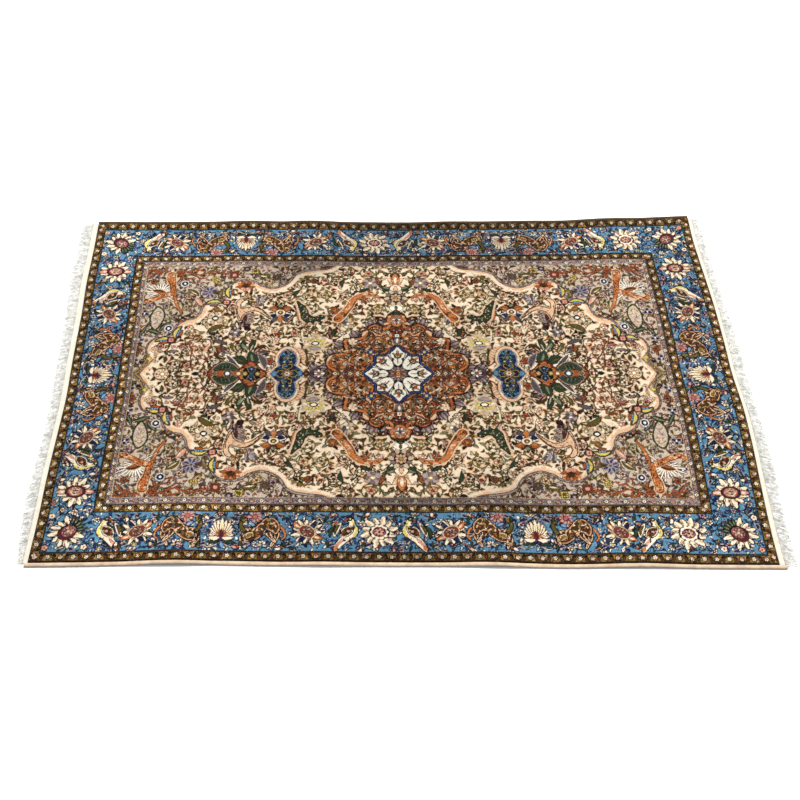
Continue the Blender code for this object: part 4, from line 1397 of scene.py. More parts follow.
def nested_scroll(pen, x, y, rx, ry, turn):
    """Whorl of curved leaves in a dark ring, with leaves springing from its rim."""
    for angle in range(0, 360, 45):
        foot = (x + 0.8 * rx * math.cos(math.radians(angle)), y + 0.8 * ry * math.sin(math.radians(angle)))
        comma(pen, *foot, angle + 50, 20, ("olive", "peach", "rust")[angle // 45 % 3], "dark")
    shape = oval(pen, x, y, rx, ry, turn)
    pen.fill(shape, "orange", "dark", 1.8)
    pen.fill(np.abs(shape + 5.5) - 1.2, "brown")
    inks = ("dark", "sage", "peach", "brick", "dark", "lilac", "olive", "rust")
    for number in range(11):
        angle = turn + 360 * number / 11
        dx, dy = polar(1, angle)
        reach = 0.34 + 0.24 * (number % 2)
        foot = (x + reach * rx * dx, y + reach * ry * dy)
        comma(pen, *foot, angle + 105, 0.62 * rx, inks[number % len(inks)], "brown", 0.26, 0.28)
    comma(pen, x - 0.3 * rx, y - 0.1 * ry, turn + 20, 0.6 * rx, "cream", "dark", 0.2, 0.3)
    pen.fill(oval(pen, x, y, 0.12 * rx, 0.14 * ry), "dark")


MEDALLION_DYES = (
    ("brown", "dark", "brown"),
    ("rust", "olive", "brown", "orange", "brick", "peach", "rust", "sage"),
    ("peach", "orange", "brick", "cream", "mauve"),
    ("dark", "brick", "cream", "navy"),
)


def paint_medallion(quarter):
    """A quarter of the orange medallion: its lobed leaves, its body, its whorls and its upright axis."""
    pen = Pen(quarter, -110, 130, reach=180)
    pen.p = pen.p - 110
    pen.q = pen.q + 130
    for x, y, turn, size in ((-78, 198, 112, 32), (-38, 208, 140, 24), (-128, 158, 124, 28),
                             (-172, 118, 150, 27), (-200, 74, 118, 29), (-216, 24, 172, 22)):
        lobed_leaf(pen, x, y, turn, size)
    outline = list(MEDALLION) + [(x, -y) for x, y in reversed(MEDALLION[:-1])]
    body = blob(pen, outline + [(-x, y) for x, y in reversed(outline[1:-1])])
    pen.fill(body, "orange", "dark", 3.4)
    plant(quarter, "orange", (-210, 5, -8, 258), MEDALLION_SEED, MEDALLION_DYES, 44.0, 0.86)
    pen.fill(np.abs(body + 5.0) - 4.0, "orange")
    pen.fill(np.abs(body + 11.0) - 1.5, "brown")
    for x, y, turn, length in ((-112, 158, 50, 34), (-170, 84, 40, 24), (-150, 96, 200, 20),
                               (-44, 208, 10, 22), (-206, 30, 75, 18), (-84, 186, 30, 22),
                               (-100, 92, 60, 26), (-132, 104, 190, 22)):
        comma(pen, x, y, turn, length, "peach" if length > 21 else "orange", "dark", 0.16, 0.34)
    for x, y, rx, ry, turn in ((-118, 58, 40, 27, 14), (-58, 128, 31, 26, 60)):
        nested_scroll(pen, x, y, rx, ry, turn)
    for x, y, rx, ry, turn in ((-197, 50, 13, 23, -12), (-70, 190, 22, 11, 24)):
        shape = oval(pen, x, y, rx, ry, turn)
        pen.fill(shape, "orange", "brown", 1.6)
        pen.fill(np.abs(shape + 3.6) - 1.0, "brown")
        petal_ring(pen, x, y, 6, 1, 11, 6.5, "cream", "dark", turn, second="rust")
        pen.fill(oval(pen, x, y, 3.4, 3.4), "navy", "dark", 1.0)
    small_flower(pen, -142, 137, 15, "cream", "peach", 5, 20, "dark")
    small_flower(pen, -176, 14, 7, "cream", "rust", 5, 0, "dark")
    ink = ("dark", "brown", "brick", "dark", "peach", "sage", "brown", "sand", "dark", "olive", "mauve")
    flecks(pen, np.maximum(body + 13, 6 - star_distance(pen)), (-214, 4, -6, 210), ink, 230, 47, 20, 3.6)
    for x, y in ((-30, 150), (-150, 0), (-128, 0), (-194, 0), (-166, 40), (-96, 94), (-28, 176)):
        small_flower(pen, x, y, 6.5, "cream", "olive", 4, 0, "dark")
    pen.fill(oval(pen, 0, 226, 20, 24), "orange", "brown", 1.6)
    petal_ring(pen, 0, 226, 9, 3, 17, 8, "ivory", "dark", 0, second="lilac")
    pen.fill(oval(pen, 0, 226, 4.4, 4.4), "brick", "dark", 1.0)
    comma(pen, -12, 250, 30, 26, "green", "dark", 0.1, 0.34)
    for x, y in ((-9, 196), (0, 186), (-18, 186), (-9, 176)):
        pen.fill(np.maximum(np.abs(pen.p - x), np.abs(pen.q - y)) - 4.0, "brick", "dark", 1.6)
    small_flower(pen, 0, 163, 8, "ivory", "rust", 5, 0, "dark")
    pen.fill(leaf(pen, (0, 156), (0, 124), 22), "mauve", "dark", 1.8)
    pen.fill(leaf(pen, (0, 150), (0, 130), 8), "ivory", "brown", 1.0)


STAR_TIP = 116.0  # from the middle to the lozenge's tips
STAR_HALF, STAR_ROUNDING = 62.0, 15.0  # of the square


def star_distance(pen):
    """Eight-pointed star: a square with an upright lozenge across it."""
    p, q = np.abs(pen.p), np.abs(pen.q)
    past_p, past_q = p - STAR_HALF, q - STAR_HALF
    outside = np.hypot(np.maximum(past_p, 0), np.maximum(past_q, 0))
    square = outside + np.minimum(np.maximum(p, q) - STAR_HALF, 0) - STAR_ROUNDING
    lozenge = ((p / STAR_TIP) ** 1.06 + (q / STAR_TIP) ** 1.06 - 1.0) * 0.70 * STAR_TIP
    return np.minimum(square, lozenge)


def paint_star(quarter):
    """White star of four tulips and four ovals in black gaps, with a royal blue outline."""
    pen = Pen(quarter, -60, 60, reach=90)
    pen.p = 1.02 * (pen.p - 60)
    pen.q = 0.96 * (pen.q + 60)
    for dx, dy in ((-8, 0), (8, 0), (0, -8), (0, 8)):
        pen.fill(np.maximum(np.abs(pen.p + 88 - dx), np.abs(pen.q - 88 - dy)) - 5.0, "royal", "dark", 0.8)
    pen.fill(np.maximum(np.abs(pen.p + 88), np.abs(pen.q - 88)) - 4.4, "yellow")
    star = star_distance(pen)
    pen.fill(star, "royal", "dark", 1.6)
    pen.fill(star + 4.6, "dark")
    for angle in (22.5, 67.5, 112.5, 157.5):
        for start, end, dye in ((5, 11, "ivory"), (1.4, 5.0, "dark")):
            spoke = line(pen, [polar(40, angle), polar(92, angle)], start, end, False)
            pen.fill(np.maximum(spoke, star + 7.0), dye)
    lobe = np.maximum(oval(pen, -52, 52, 45, 25.0, 135), star + 8.4)
    pen.fill(lobe, "ivory", "dark", 2.0)
    ink = ("green", "rust", "olive", "violet", "sand", "brown", "ivory")
    flecks(pen, lobe + 3.4, (-84, -34, 34, 84), ink, 16, 52, 9, 3.8)
    tulip = [(-11, 40), (-14, 50), (-12, 60), (-21, 68), (-23, 82), (-12, 94), (0, 107), (12, 94),
             (23, 82), (21, 68), (12, 60), (14, 50), (11, 40), (0, 32)]
    for petal in (blob(pen, tulip), blob(pen, [(-y, x) for x, y in tulip])):
        pen.fill(petal, "ivory", "dark", 1.9)
    for angle in (135, 90, 180):
        square = angle == 135
        middle = 76 if square else 78
        for side in (-1, 1):
            foot = polar(middle - 16, angle + 2 * side)
            comma(pen, *foot, angle + 32 * side, 15, "olive", "dark", 0.12 * side, 0.34)
            foot = polar(middle, angle + 4 * side)
            dye = "rust" if square else "gold"
            comma(pen, *foot, angle + 62 * side, 12, dye, "dark", 0.2 * side, 0.40)
        comma(pen, *polar(middle + 3, angle), angle, 13, "pink", "brown", 0, 0.5)
        pen.fill(oval(pen, *polar(middle, angle), 5.0, 4.4, angle), "rust", "dark", 1.4)
        pen.fill(line(pen, [polar(42, angle), polar(middle - 6, angle)], 3.4, 2.4, False), "brown")
    petal_ring(pen, 0, 0, 16, 8, 32, 8.5, "lilac", "brown", 0, second="mauve")
    petal_ring(pen, 0, 0, 8, 6, 18, 6, "peach", "brown", 11, second="rust")
    pen.fill(oval(pen, 0, 0, 7, 7), "orange", "brown", 1.4)
    pen.fill(oval(pen, 0, 0, 2.8, 2.8), "brown", "peach", 1.2)


def finish_quarter(quarter):
    """Broken outlines round the motifs of each ground, and halos past them."""
    dye = quarter.dye
    everywhere = np.ones(dye.shape, bool)
    outline_motifs(dye, everywhere, "cream", ("sand",), 0.5, "peach", 0.45, CREAM_SEED)
    outline_motifs(dye, everywhere, "stone", ("brown", "mauve"), 0.24, "sand", 0.4, STONE_SEED)
    outline_motifs(dye, everywhere, "orange", ("brown",), 0.30, "peach", 0.14, ORANGE_SEED)


FIELD_DYES = (
    ("dark", "brown", "brown", "olive"),
    ("olive", "brown", "green", "bronze", "sage", "dark", "sand", "brown"),
    ("peach", "cream", "pink", "cream", "rust", "cream"),
    ("brick", "gold", "brown", "olive"),
)
# (x, y, radius, petals, second petals, heart, number of petals)
FIELD_BLOOMS = (
    (-589, 235, 30, "sand", "cream", "dark", 9),
    (-85, 396, 26, "mauve", "lilac", "gold", 8), (-516, 175, 20, "slate", "lilac", "mauve", 7),
    (-418, 193, 14, "cream", "peach", "brick", 5), (-418, 152, 14, "cream", "peach", "brick", 5),
    (-388, 184, 13, "cream", "peach", "brick", 5), (-384, 147, 14, "cream", "peach", "brick", 5),
    (-672, 193, 15, "pink", "cream", "brick", 6), (-781, 104, 13, "cream", "peach", "brick", 6),
    (-746, 2, 22, "peach", "cream", "gold", 9), (-158, 212, 22, "cream", "sand", "gold", 6),
    (-176, 172, 13, "sand", "cream", "slate", 5), (-232, 396, 13, "peach", "brick", "cream", 6),
    (-300, 210, 12, "pink", "cream", "brown", 5), (-64, 322, 13, "pink", "peach", "mauve", 6),
)
FIELD_STEMS = (
    ((-130, 290), (-95, 272), (-60, 276), (-30, 292)), ((-196, 262), (-150, 250), (-110, 262)),
    ((-440, 108), (-400, 96), (-360, 104), (-310, 98)), ((-280, 420), (-300, 400), (-290, 370), (-250, 360)),
    ((-230, 440), (-190, 420), (-150, 436), (-120, 400)), ((-130, 400), (-150, 370), (-146, 330)),
    ((-30, 345), (-60, 372), (-96, 366)), ((-60, 440), (-50, 462), (-24, 452), (-8, 470)),
    ((-400, 340), (-380, 320), (-400, 300), (-390, 270)), ((-700, 90), (-680, 60), (-690, 30), (-720, 20)),
    ((-300, 200), (-270, 176), (-240, 170), (-215, 186)), ((-660, 40), (-640, 20), (-610, 20)),
    ((-560, 120), (-590, 90), (-620, 100)), ((-560, 30), (-540, 70), (-500, 90)),
)


def axis_lotus(quarter):
    """Flowers on the upright middle line, over the medallion."""
    pen = Pen(quarter, 0, 326, reach=170)
    for side in (-1, 1):
        comma(pen, 12 * side, 30, 90 - 52 * side, 46, "green", "dark", -0.1 * side, 0.34)
        comma(pen, 20 * side, 40, 90 - 66 * side, 26, "sage", "dark", 0.1 * side, 0.3)
        comma(pen, 20 * side, 118, 90 - 60 * side, 40, "cream", "dark", 0.2 * side, 0.42)
        comma(pen, 10 * side, 68, 90 - 34 * side, 32, "peach", "brown", 0.1 * side, 0.42)
        pen.fill(line(pen, spiral(side * 50, 104, 24, 0, 0.9, 1), 4.0, 3), "olive", "dark", 0.8)
    pen.fill(leaf(pen, (0, 60), (0, 116), 26), "orange", "brown", 1.8)
    pen.fill(leaf(pen, (0, 66), (0, 104), 12), "cream", "rust", 1.4)
    pen.fill(leaf(pen, (0, 22), (0, 64), 38, 0, 0.6), "cream", "dark", 2.2)
    pen.fill(leaf(pen, (0, 28), (0, 54), 12), "peach", "brown", 1.2)
    petal_ring(pen, 0, 0, 11, 14, 40, 15, "mauve", "dark", 18, second="sand")
    pen.fill(oval(pen, 0, 0, 22, 22), "dark")
    petal_ring(pen, 0, 0, 8, 3, 20, 9, "sand", "olive", 0, second="pink")
    pen.fill(oval(pen, 0, 0, 6, 6), "gold", "dark", 1.2)
    pen.fill(leaf(pen, (0, -34), (0, -62), 44, 0, 0.6), "ivory", "brown", 1.4)
    pen.fill(leaf(pen, (0, -36), (0, -54), 9), "olive", "dark", 1.0)


def green_plumes(quarter):
    """Green and grey plumes over the rust pendant."""
    pen = Pen(quarter, -486, 60, reach=110)
    for x, y, turn, length, dye in ((-44, 24, 140, 40, "slate"), (-20, 30, 118, 46, "olive"),
                                    (4, 34, 96, 52, "green"), (22, 34, 74, 54, "green"),
                                    (34, 28, 50, 46, "brown"), (44, 16, 28, 40, "slate"),
                                    (-60, 6, 160, 36, "brown"), (14, 40, 124, 36, "sage")):
        comma(pen, x, y, turn, length, dye, "dark", 0.08, 0.34)
        comma(pen, x, y, turn, 0.6 * length, "sand", dye, 0.05, 0.12)


def paint_field(canvas):
    """Field of the rug: its back left quarter, mirrored to the other three and shifted a little."""
    columns, rows = len(canvas.x) // 2, len(canvas.y) // 2
    quarter = Canvas(canvas.x[:columns], canvas.y[rows:], canvas.dye[rows:, :columns])
    edge = paint_spandrel(quarter)
    for points in FIELD_STEMS:
        middle = np.mean(points, axis=0)
        pen = Pen(quarter, *middle, reach=120)
        vine(pen, [(x - middle[0], y - middle[1]) for x, y in points], "dark", 4.0, "olive", 14, 15)
    plant(quarter, "cream", (-820, 10, -10, 500), FIELD_SEED, FIELD_DYES, 66.0, 1.14)
    paint_edge_halo(quarter, edge)
    for x, y, radius, petal, second, heart, petals in FIELD_BLOOMS:
        big_flower(Pen(quarter, x, y, reach=50), radius, petal, second, heart, petals)
    yellow_bloom(Pen(quarter, -256, 128, reach=60))
    composite_palmette(Pen(quarter, -374, 258, reach=60))
    for x, y, turn, length, dye in ((-610, 176, 30, 60, "olive"), (-590, 140, -20, 50, "slate"),
                                    (-204, 252, -36, 56, "lilac"), (-196, 236, -40, 44, "slate"),
                                    (-176, 376, 80, 40, "green"), (-330, 330, 60, 36, "green"),
                                    (-735, 92, 8, 34, "mauve"), (-300, 80, -64, 44, "olive"),
                                    (-706, 118, -8, 34, "rose"), (-196, 160, 100, 30, "green"),
                                    (-120, 352, 30, 34, "green"), (-548, 372, 100, 30, "sage")):
        comma(Pen(quarter, x, y, reach=80), 0, 0, turn, length, dye, "dark", 0.1, 0.3)
    green_plumes(quarter)
    horned_beast(Pen(quarter, -640, 112, reach=100))
    dome_flower(Pen(quarter, -494, 378, reach=50))
    crane(Pen(quarter, -464, 267, 0, 0.86, reach=140))
    bird = Pen(quarter, -272, 248, 0, 0.90, reach=120)
    bird.q = 1.40 * bird.q
    spotted_bird(bird)
    slender_beast(Pen(quarter, -104, 296, reach=120))
    axis_lotus(quarter)
    rust_pendant(quarter)
    cartouche(quarter)
    paint_edge_scroll(quarter)
    side_drop(quarter)
    paint_medallion(quarter)
    paint_star(quarter)
    finish_quarter(quarter)
    canvas.dye[rows:, columns:] = quarter.dye[:, ::-1]
    canvas.dye[:rows] = canvas.dye[:rows - 1:-1]
    drift(canvas)


def ramp(values, start, end):
    """Smooth step from 0 to 1."""
    share = np.clip((values - start) / (end - start), 0.0, 1.0)
    return share * share * (3.0 - 2.0 * share)


DRIFT_LEFT, DRIFT_DOWN, DRIFT_APART = 9.5, 10.0, 9.0


def drift(canvas):
    """Shifts the drawing a little left of and below the rug's middle, and draws it out round there."""
    x, y = canvas.x, canvas.y
    apart_x = np.sign(x) * ramp(np.abs(x), 120, 280) * (1.0 - ramp(np.abs(x), 500, 820))
    apart_y = np.sign(y) * ramp(np.abs(y), 140, 300)
    from_x = x + DRIFT_LEFT - DRIFT_APART * apart_x
    from_y = y + DRIFT_DOWN - DRIFT_APART * apart_y
    columns = np.clip(np.searchsorted(x, from_x), 0, len(x) - 1)
    rows = np.clip(np.searchsorted(y, from_y), 0, len(y) - 1)
    canvas.dye = canvas.dye[rows][:, columns]


def redder_medallion_half(canvas):
    """The medallion's right half is redder than its left half: its orange knots turn rust in soft patches."""
    rng = np.random.default_rng(REDDER_HALF_SEED)
    x, y = canvas.x[None, :], canvas.y[:, None]
    inside = np.hypot(x / 225, y / 270) < 1
    chance = patches(canvas.dye.shape, 9, rng)
    red = inside & (x > 12) & (canvas.dye == NUMBER["orange"]) & (chance < 0.6)
    canvas.dye[red] = NUMBER["rust"]


def paint_rug():
    """The whole drawing: field, border, a redder medallion half, mottled colours and ragged lines."""
    x = knot_places(KNOTS_ALONG, 2 * HALF_LENGTH)
    y = knot_places(KNOTS_ACROSS, 2 * HALF_WIDTH)
    canvas = Canvas(x, y, np.full((KNOTS_ACROSS, KNOTS_ALONG), NUMBER["cream"], np.uint8))
    paint_field(canvas)
    paint_border(canvas)
    redder_medallion_half(canvas)
    mottle(canvas.dye, MOTTLE_SEED, MOTTLE_SHARE)
    canvas.dye = fray(canvas.dye, FRAY_SEED, FRAY_SHARE)
    return canvas


# ---------------------------------------------------------------- the rug's surface
def read_table(table, place):
    """Value of a (place, value) table, smoothed over a short stretch."""
    places, values = zip(*table)
    steps = np.linspace(-OUTLINE_SMOOTHING, OUTLINE_SMOOTHING, 7)
    place = np.asarray(place, float)
    return np.mean([np.interp(place + step, places, values) for step in steps], axis=0)


def lift(x, y):
    """Height of the rug's underside above the floor."""
    across = np.clip(y / PILE_WIDTH + 0.5, 0.0, 1.0)
    middle_share = RIPPLE_MIDDLE_SHARE + (1.0 - RIPPLE_MIDDLE_SHARE) * (2.0 * across - 1.0) ** 2
    height = 0.0
    for front_x, back_x, half_width, front_height, back_height in RIPPLES:
        crest = front_x + (back_x - front_x) * across
        distance = np.minimum(np.abs(x - crest) / half_width, 1.0)
        top = front_height + (back_height - front_height) * across
        height = height + top * middle_share * np.cos(0.5 * math.pi * distance) ** 2
    return height


def pile_point(u, v):
    """Place in plan of points of the pile; u and v run from -1 to 1 along and across."""
    u, v = np.broadcast_arrays(np.asarray(u, float), np.asarray(v, float))
    x = u * PILE_LENGTH / 2
    y = v * (PILE_WIDTH / 2 + END_TAPER * u)
    end_offset = np.where(u > 0, read_table(RIGHT_OFFSETS, y), read_table(LEFT_OFFSETS, y))
    side_offset = np.where(v > 0, read_table(BACK_OFFSETS, x), read_table(FRONT_OFFSETS, x))
    return x + end_offset * u * np.abs(u), y + side_offset * v * np.abs(v)


def stations(count, length):
    """Places from -1 to 1: a narrow rim at each end and equal steps between."""
    rim = 2.0 * EDGE_ROUNDING / length
    return np.concatenate([[-1.0], np.linspace(-1.0 + rim, 1.0 - rim, count - 1), [1.0]])


def frame_offset():
    """Moves the rug's own middle to where the frame has it."""
    along, across = stations(CAD_COLUMNS, PILE_LENGTH), stations(CAD_ROWS, PILE_WIDTH)
    x, y = pile_point(along[None, :], across[:, None])
    low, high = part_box("pile")
    return ((low.x + high.x - x.min() - x.max()) / 2, (low.y + high.y - y.min() - y.max()) / 2)


OFFSET = frame_offset()


def smooth_noise(rows, columns, cells_down, cells_along, rng):
    """Random values from -1 to 1 that change slowly over a grid."""
    coarse = rng.uniform(-1.0, 1.0, (cells_down + 2, cells_along + 2))
    down = np.linspace(0, cells_down, rows)
    along = np.linspace(0, cells_along, columns)
    i, j = down.astype(int), along.astype(int)
    s, t = (down - i)[:, None], (along - j)[None, :]
    s, t = s * s * (3 - 2 * s), t * t * (3 - 2 * t)
    top = coarse[np.ix_(i, j)] * (1 - t) + coarse[np.ix_(i, j + 1)] * t
    low = coarse[np.ix_(i + 1, j)] * (1 - t) + coarse[np.ix_(i + 1, j + 1)] * t
    return top * (1 - s) + low * s


# ---------------------------------------------------------------- meshes
def to_linear(colour):
    """Linear light of a colour given from 0 to 255."""
    share = np.asarray(colour, float) / 255.0
    return np.where(share <= 0.04045, share / 12.92, ((share + 0.055) / 1.055) ** 2.4)


def make_piece(name, vertices, faces, material, node, colours=None, flat_map=None):
    """Object from points and faces, with colours and a flat map on the faces' corners."""
    mesh = bpy.data.meshes.new(name)
    mesh.from_pydata([tuple(point) for point in vertices], [], faces)
    mesh.materials.append(material)
    if colours is not None:
        attribute = mesh.color_attributes.new("dye", "FLOAT_COLOR", "CORNER")
        packed = np.ones((len(colours), 4), np.float32)
        packed[:, :3] = colours
        attribute.data.foreach_set("color", packed.ravel())
    if flat_map is not None:
        layer = mesh.uv_layers.new(name="OFBake")
        layer.data.foreach_set("uv", np.asarray(flat_map, np.float32).ravel())
    mesh.validate()
    mesh.update()
    piece = bpy.data.objects.new(name, mesh)
    piece.location = (OFFSET[0], OFFSET[1], 0.0)
    bpy.context.scene.collection.objects.link(piece)
    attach(piece, "root")
    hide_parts(node)
    return piece


def smooth_piece(piece, angle):
    """Smooth shading, with edges sharp from an angle in degrees."""
    piece.data.shade_smooth()
    piece.data.set_sharp_from_angle(angle=math.radians(angle))


def pile_surface(rng):
    """Top points of the pile as a grid, row by row from front to back."""
    u = np.linspace(-1.0, 1.0, QUADS_ALONG + 1)[None, :]
    v = np.linspace(-1.0, 1.0, QUADS_ACROSS + 1)[:, None]
    x, y = pile_point(u, v)
    rim = np.minimum((1 - np.abs(u)) * PILE_LENGTH / 2, (1 - np.abs(v)) * PILE_WIDTH / 2)
    share = np.clip(rim / EDGE_ROUNDING, 0.0, 1.0)
    rounding = np.sqrt(np.clip(1.0 - (1.0 - share) ** 2, 0.0, 1.0))
    thickness = EDGE_THICKNESS + (PILE_THICKNESS - EDGE_THICKNESS) * rounding
    shape = x.shape
    nap = rng.normal(0.0, 0.45, shape) + 0.7 * smooth_noise(*shape, 130, 190, rng)
    nap = nap + smooth_noise(*shape, 26, 40, rng)
    return x, y, lift(x, y), lift(x, y) + thickness + PILE_NOISE * nap * (0.3 + 0.7 * share)


def rim_of(number):
    """Numbers of the points round a grid: front, right, back, left."""
    return np.concatenate([number[0, :-1], number[:-1, -1], number[-1, :0:-1], number[:0:-1, 0]])


def end_fan(end, front, back, turned):
    """Triangles of a hidden face between its last long quad and the points of the block's end."""
    half = len(end) // 2
    faces = [(end[i], end[i + 1], front) for i in range(half)]
    faces.append((end[half], back, front))
    faces += [(end[i], end[i + 1], back) for i in range(half, len(end) - 1)]
    return [face[::-1] for face in faces] if turned else faces


def hidden_face(ring, along, down, facing_up):
    """Long quads and two end fans inside a ring of points, on the side of a block that isn't seen."""
    ring = ring.tolist()
    front, right = ring[:along], ring[along - 1:along + down - 1]
    back = ring[along + down - 2:2 * along + down - 2][::-1]
    left = (ring[2 * along + down - 3:] + ring[:1])[::-1]
    faces = []
    for near, next_near, far, next_far in zip(front[1:], front[2:-1], back[1:], back[2:-1]):
        faces.append((near, next_near, next_far, far) if facing_up else (near, far, next_far, next_near))
    faces += end_fan(left, front[1], back[1], facing_up)
    faces += end_fan(right, front[-2], back[-2], not facing_up)
    return faces


def rim_colours(knots, down, along):
    """Colours of the knots next to each point of a block's rim, in the rim's order."""
    columns = np.clip(2 * np.arange(along), 0, knots.shape[1] - 1)
    rows = np.clip(2 * np.arange(down), 0, knots.shape[0] - 1)
    front, back = knots[0, columns[:-1]], knots[-1, columns[:0:-1]]
    right, left = knots[rows[:-1], -1], knots[rows[:0:-1], 0]
    return np.vstack([front, right, back, left])


def make_tile(name, surface, colours, columns, rows, material):
    """One closed block of pile. Its top has a colour for each of two by two knots a quad."""
    x, y, base, top = (grid[rows[0]:rows[1] + 1, columns[0]:columns[1] + 1] for grid in surface)
    down, along = x.shape
    number = np.arange(x.size).reshape(x.shape)
    upper = np.stack([x, y, top], axis=-1).reshape(-1, 3)
    quads = np.stack([number[:-1, :-1], number[:-1, 1:], number[1:, 1:], number[1:, :-1]], axis=-1)
    ring = rim_of(number)
    count = len(ring)
    following = np.roll(np.arange(count), -1)
    under = x.size + np.arange(count)
    lower = np.column_stack([upper[ring][:, :2], base.reshape(-1)[ring] + BODY_THICKNESS])
    walls = np.stack([ring, under, under[following], ring[following]], axis=-1)
    floor = hidden_face(under, along, down, False)
    floor_corners = sum(len(face) for face in floor)

    knots = colours[2 * rows[0]:2 * rows[1], 2 * columns[0]:2 * columns[1]]
    top_colour = np.stack([knots[0::2, 0::2], knots[0::2, 1::2], knots[1::2, 1::2], knots[1::2, 0::2]],
                          axis=2)
    rim_colour = rim_colours(knots, down, along)
    wall_colour = np.stack([rim_colour, rim_colour, rim_colour[following], rim_colour[following]], axis=1)
    floor_colour = np.tile(rim_colour[:1], (floor_corners, 1))

    across, over = np.linspace(0.0, 1.0, along), np.linspace(0.0, 1.0, down)
    plan = np.stack(np.broadcast_arrays(across[None, :], over[:, None]), axis=-1).reshape(-1, 2)
    wall_corners = np.stack([np.arange(count), np.arange(count), following, following], axis=-1)
    maps = [plan[quads.reshape(-1)], plan[ring][wall_corners.reshape(-1)], np.zeros((floor_corners, 2))]

    faces = quads.reshape(-1, 4).tolist() + walls.tolist() + floor
    # the walls' colours carry painted shade
    flat = [top_colour.reshape(-1, 3), WALL_SHADE * wall_colour.reshape(-1, 3), floor_colour]
    piece = make_piece(name, np.vstack([upper, lower]), faces, material, "pile",
                       np.vstack(flat), np.vstack(maps))
    smooth_piece(piece, 60.0)
    return piece


def make_pile(colours, material):
    """The pile in rows of blocks, from the front left."""
    surface = pile_surface(np.random.default_rng(PILE_SEED))
    tiles = []
    wide, tall = QUADS_ALONG // TILE_COLUMNS, QUADS_ACROSS // TILE_ROWS
    for row in range(TILE_ROWS):
        for column in range(TILE_COLUMNS):
            name = "pile_block_%d_%d" % (row + 1, column + 1)
            tiles.append(make_tile(name, surface, colours, (column * wide, (column + 1) * wide),
                                   (row * tall, (row + 1) * tall), material))
    return tiles


def sampled(count, knots):
    """Numbers of the knots that lie under evenly spaced places, two for each cell."""
    return np.minimum(((np.arange(2 * count) + 0.5) / (2 * count) * knots).astype(int), knots - 1)


def make_foundation(colours, material):
    """Knotted foundation: a thin closed cloth whose underside shows the design again."""
    columns, rows = UNDERSIDE_CELLS
    u, v = np.linspace(-1.0, 1.0, columns + 1)[None, :], np.linspace(-1.0, 1.0, rows + 1)[:, None]
    x, y = pile_point(UNDERSIDE_LENGTH_SHARE * u, UNDERSIDE_WIDTH_SHARE * v)
    number = np.arange(x.size).reshape(x.shape)
    lower = np.stack([x, y, lift(x, y)], axis=-1).reshape(-1, 3)
    quads = np.stack([number[:-1, :-1], number[1:, :-1], number[1:, 1:], number[:-1, 1:]], axis=-1)
    ring = rim_of(number)
    count = len(ring)
    following = np.roll(np.arange(count), -1)
    above = x.size + np.arange(count)
    upper = lower[ring] + (0.0, 0.0, BODY_THICKNESS - GAP)
    walls = np.stack([ring, above, above[following], ring[following]], axis=-1)
    lid = hidden_face(above, columns + 1, rows + 1, True)

    knots = colours[np.ix_(sampled(rows, KNOTS_ACROSS), sampled(columns, KNOTS_ALONG))]
    back = np.stack([knots[0::2, 0::2], knots[1::2, 0::2], knots[1::2, 1::2], knots[0::2, 1::2]], axis=2)
    plain_corners = 4 * len(walls) + sum(len(face) for face in lid)
    plain = np.tile(to_linear(FOUNDATION_COTTON), (plain_corners, 1))
    faces = quads.reshape(-1, 4).tolist() + walls.tolist() + lid
    piece = make_piece("knotted_foundation", np.vstack([lower, upper]), faces, material, "pile",
                       np.vstack([back.reshape(-1, 3), plain]))
    smooth_piece(piece, 50.0)
    return piece


def at_end(stem, side):
    """Name of the piece at one end; side is -1 for left, 1 for right."""
    return stem + ("_right" if side > 0 else "_left")


def kilim_lines(side, v):
    """Inner and outer line of the kilim at one end; side is -1 for left, 1 for right."""
    widths = RIGHT_KILIM_WIDTHS if side > 0 else LEFT_KILIM_WIDTHS
    x, y = pile_point(side, v)
    x = x + side * GAP
    return x, x + side * read_table(widths, y), y


def make_kilim(side, material):
    """Flat-woven strip: wefts packed over the bundled warps, with a slightly wavy outer edge."""
    rng = np.random.default_rng(KILIM_SEED + side)
    points = KILIM_STEPS + 1
    inner, outer, y = kilim_lines(side, np.linspace(-1.0, 1.0, points))
    outer = outer + side * KILIM_EDGE_WAVE * smooth_noise(1, points, 1, 160, rng)[0]
    share, height = np.array(KILIM_PROFILE).T
    x = inner[None, :] + (outer - inner)[None, :] * share[:, None]
    wave = 1.0 + 0.05 * smooth_noise(len(share), points, 6, 350, rng)
    wave += 0.05 * smooth_noise(len(share), points, 2, 40, rng)
    z = (height * KILIM_THICKNESS)[:, None] * wave
    # two lines on the floor close the strip underneath
    x = np.vstack([x, x[-1:], x[:1]])
    z = np.vstack([z, np.zeros_like(z[:2])])
    vertices = np.stack([x, np.broadcast_to(y, x.shape), z], axis=-1)
    return make_strip(at_end("kilim_strip", side), vertices, material, at_end("kilim", side),
                      side > 0, 35.0)


def make_strip(name, vertices, material, node, turned, angle):
    """Closed body swept along its lines, with both ends capped."""
    lines, steps = vertices.shape[:2]
    number = np.arange(lines * steps).reshape(lines, steps)
    following = np.roll(number, -1, axis=0)
    quads = np.stack([number[:, :-1], number[:, 1:], following[:, 1:], following[:, :-1]], axis=-1)
    faces = quads.reshape(-1, 4).tolist()
    faces.append(number[:, 0].tolist())
    faces.append(number[::-1, -1].tolist())
    if turned:
        faces = [face[::-1] for face in faces]
    piece = make_piece(name, vertices.reshape(-1, 3), faces, material, node)
    smooth_piece(piece, angle)
    return piece


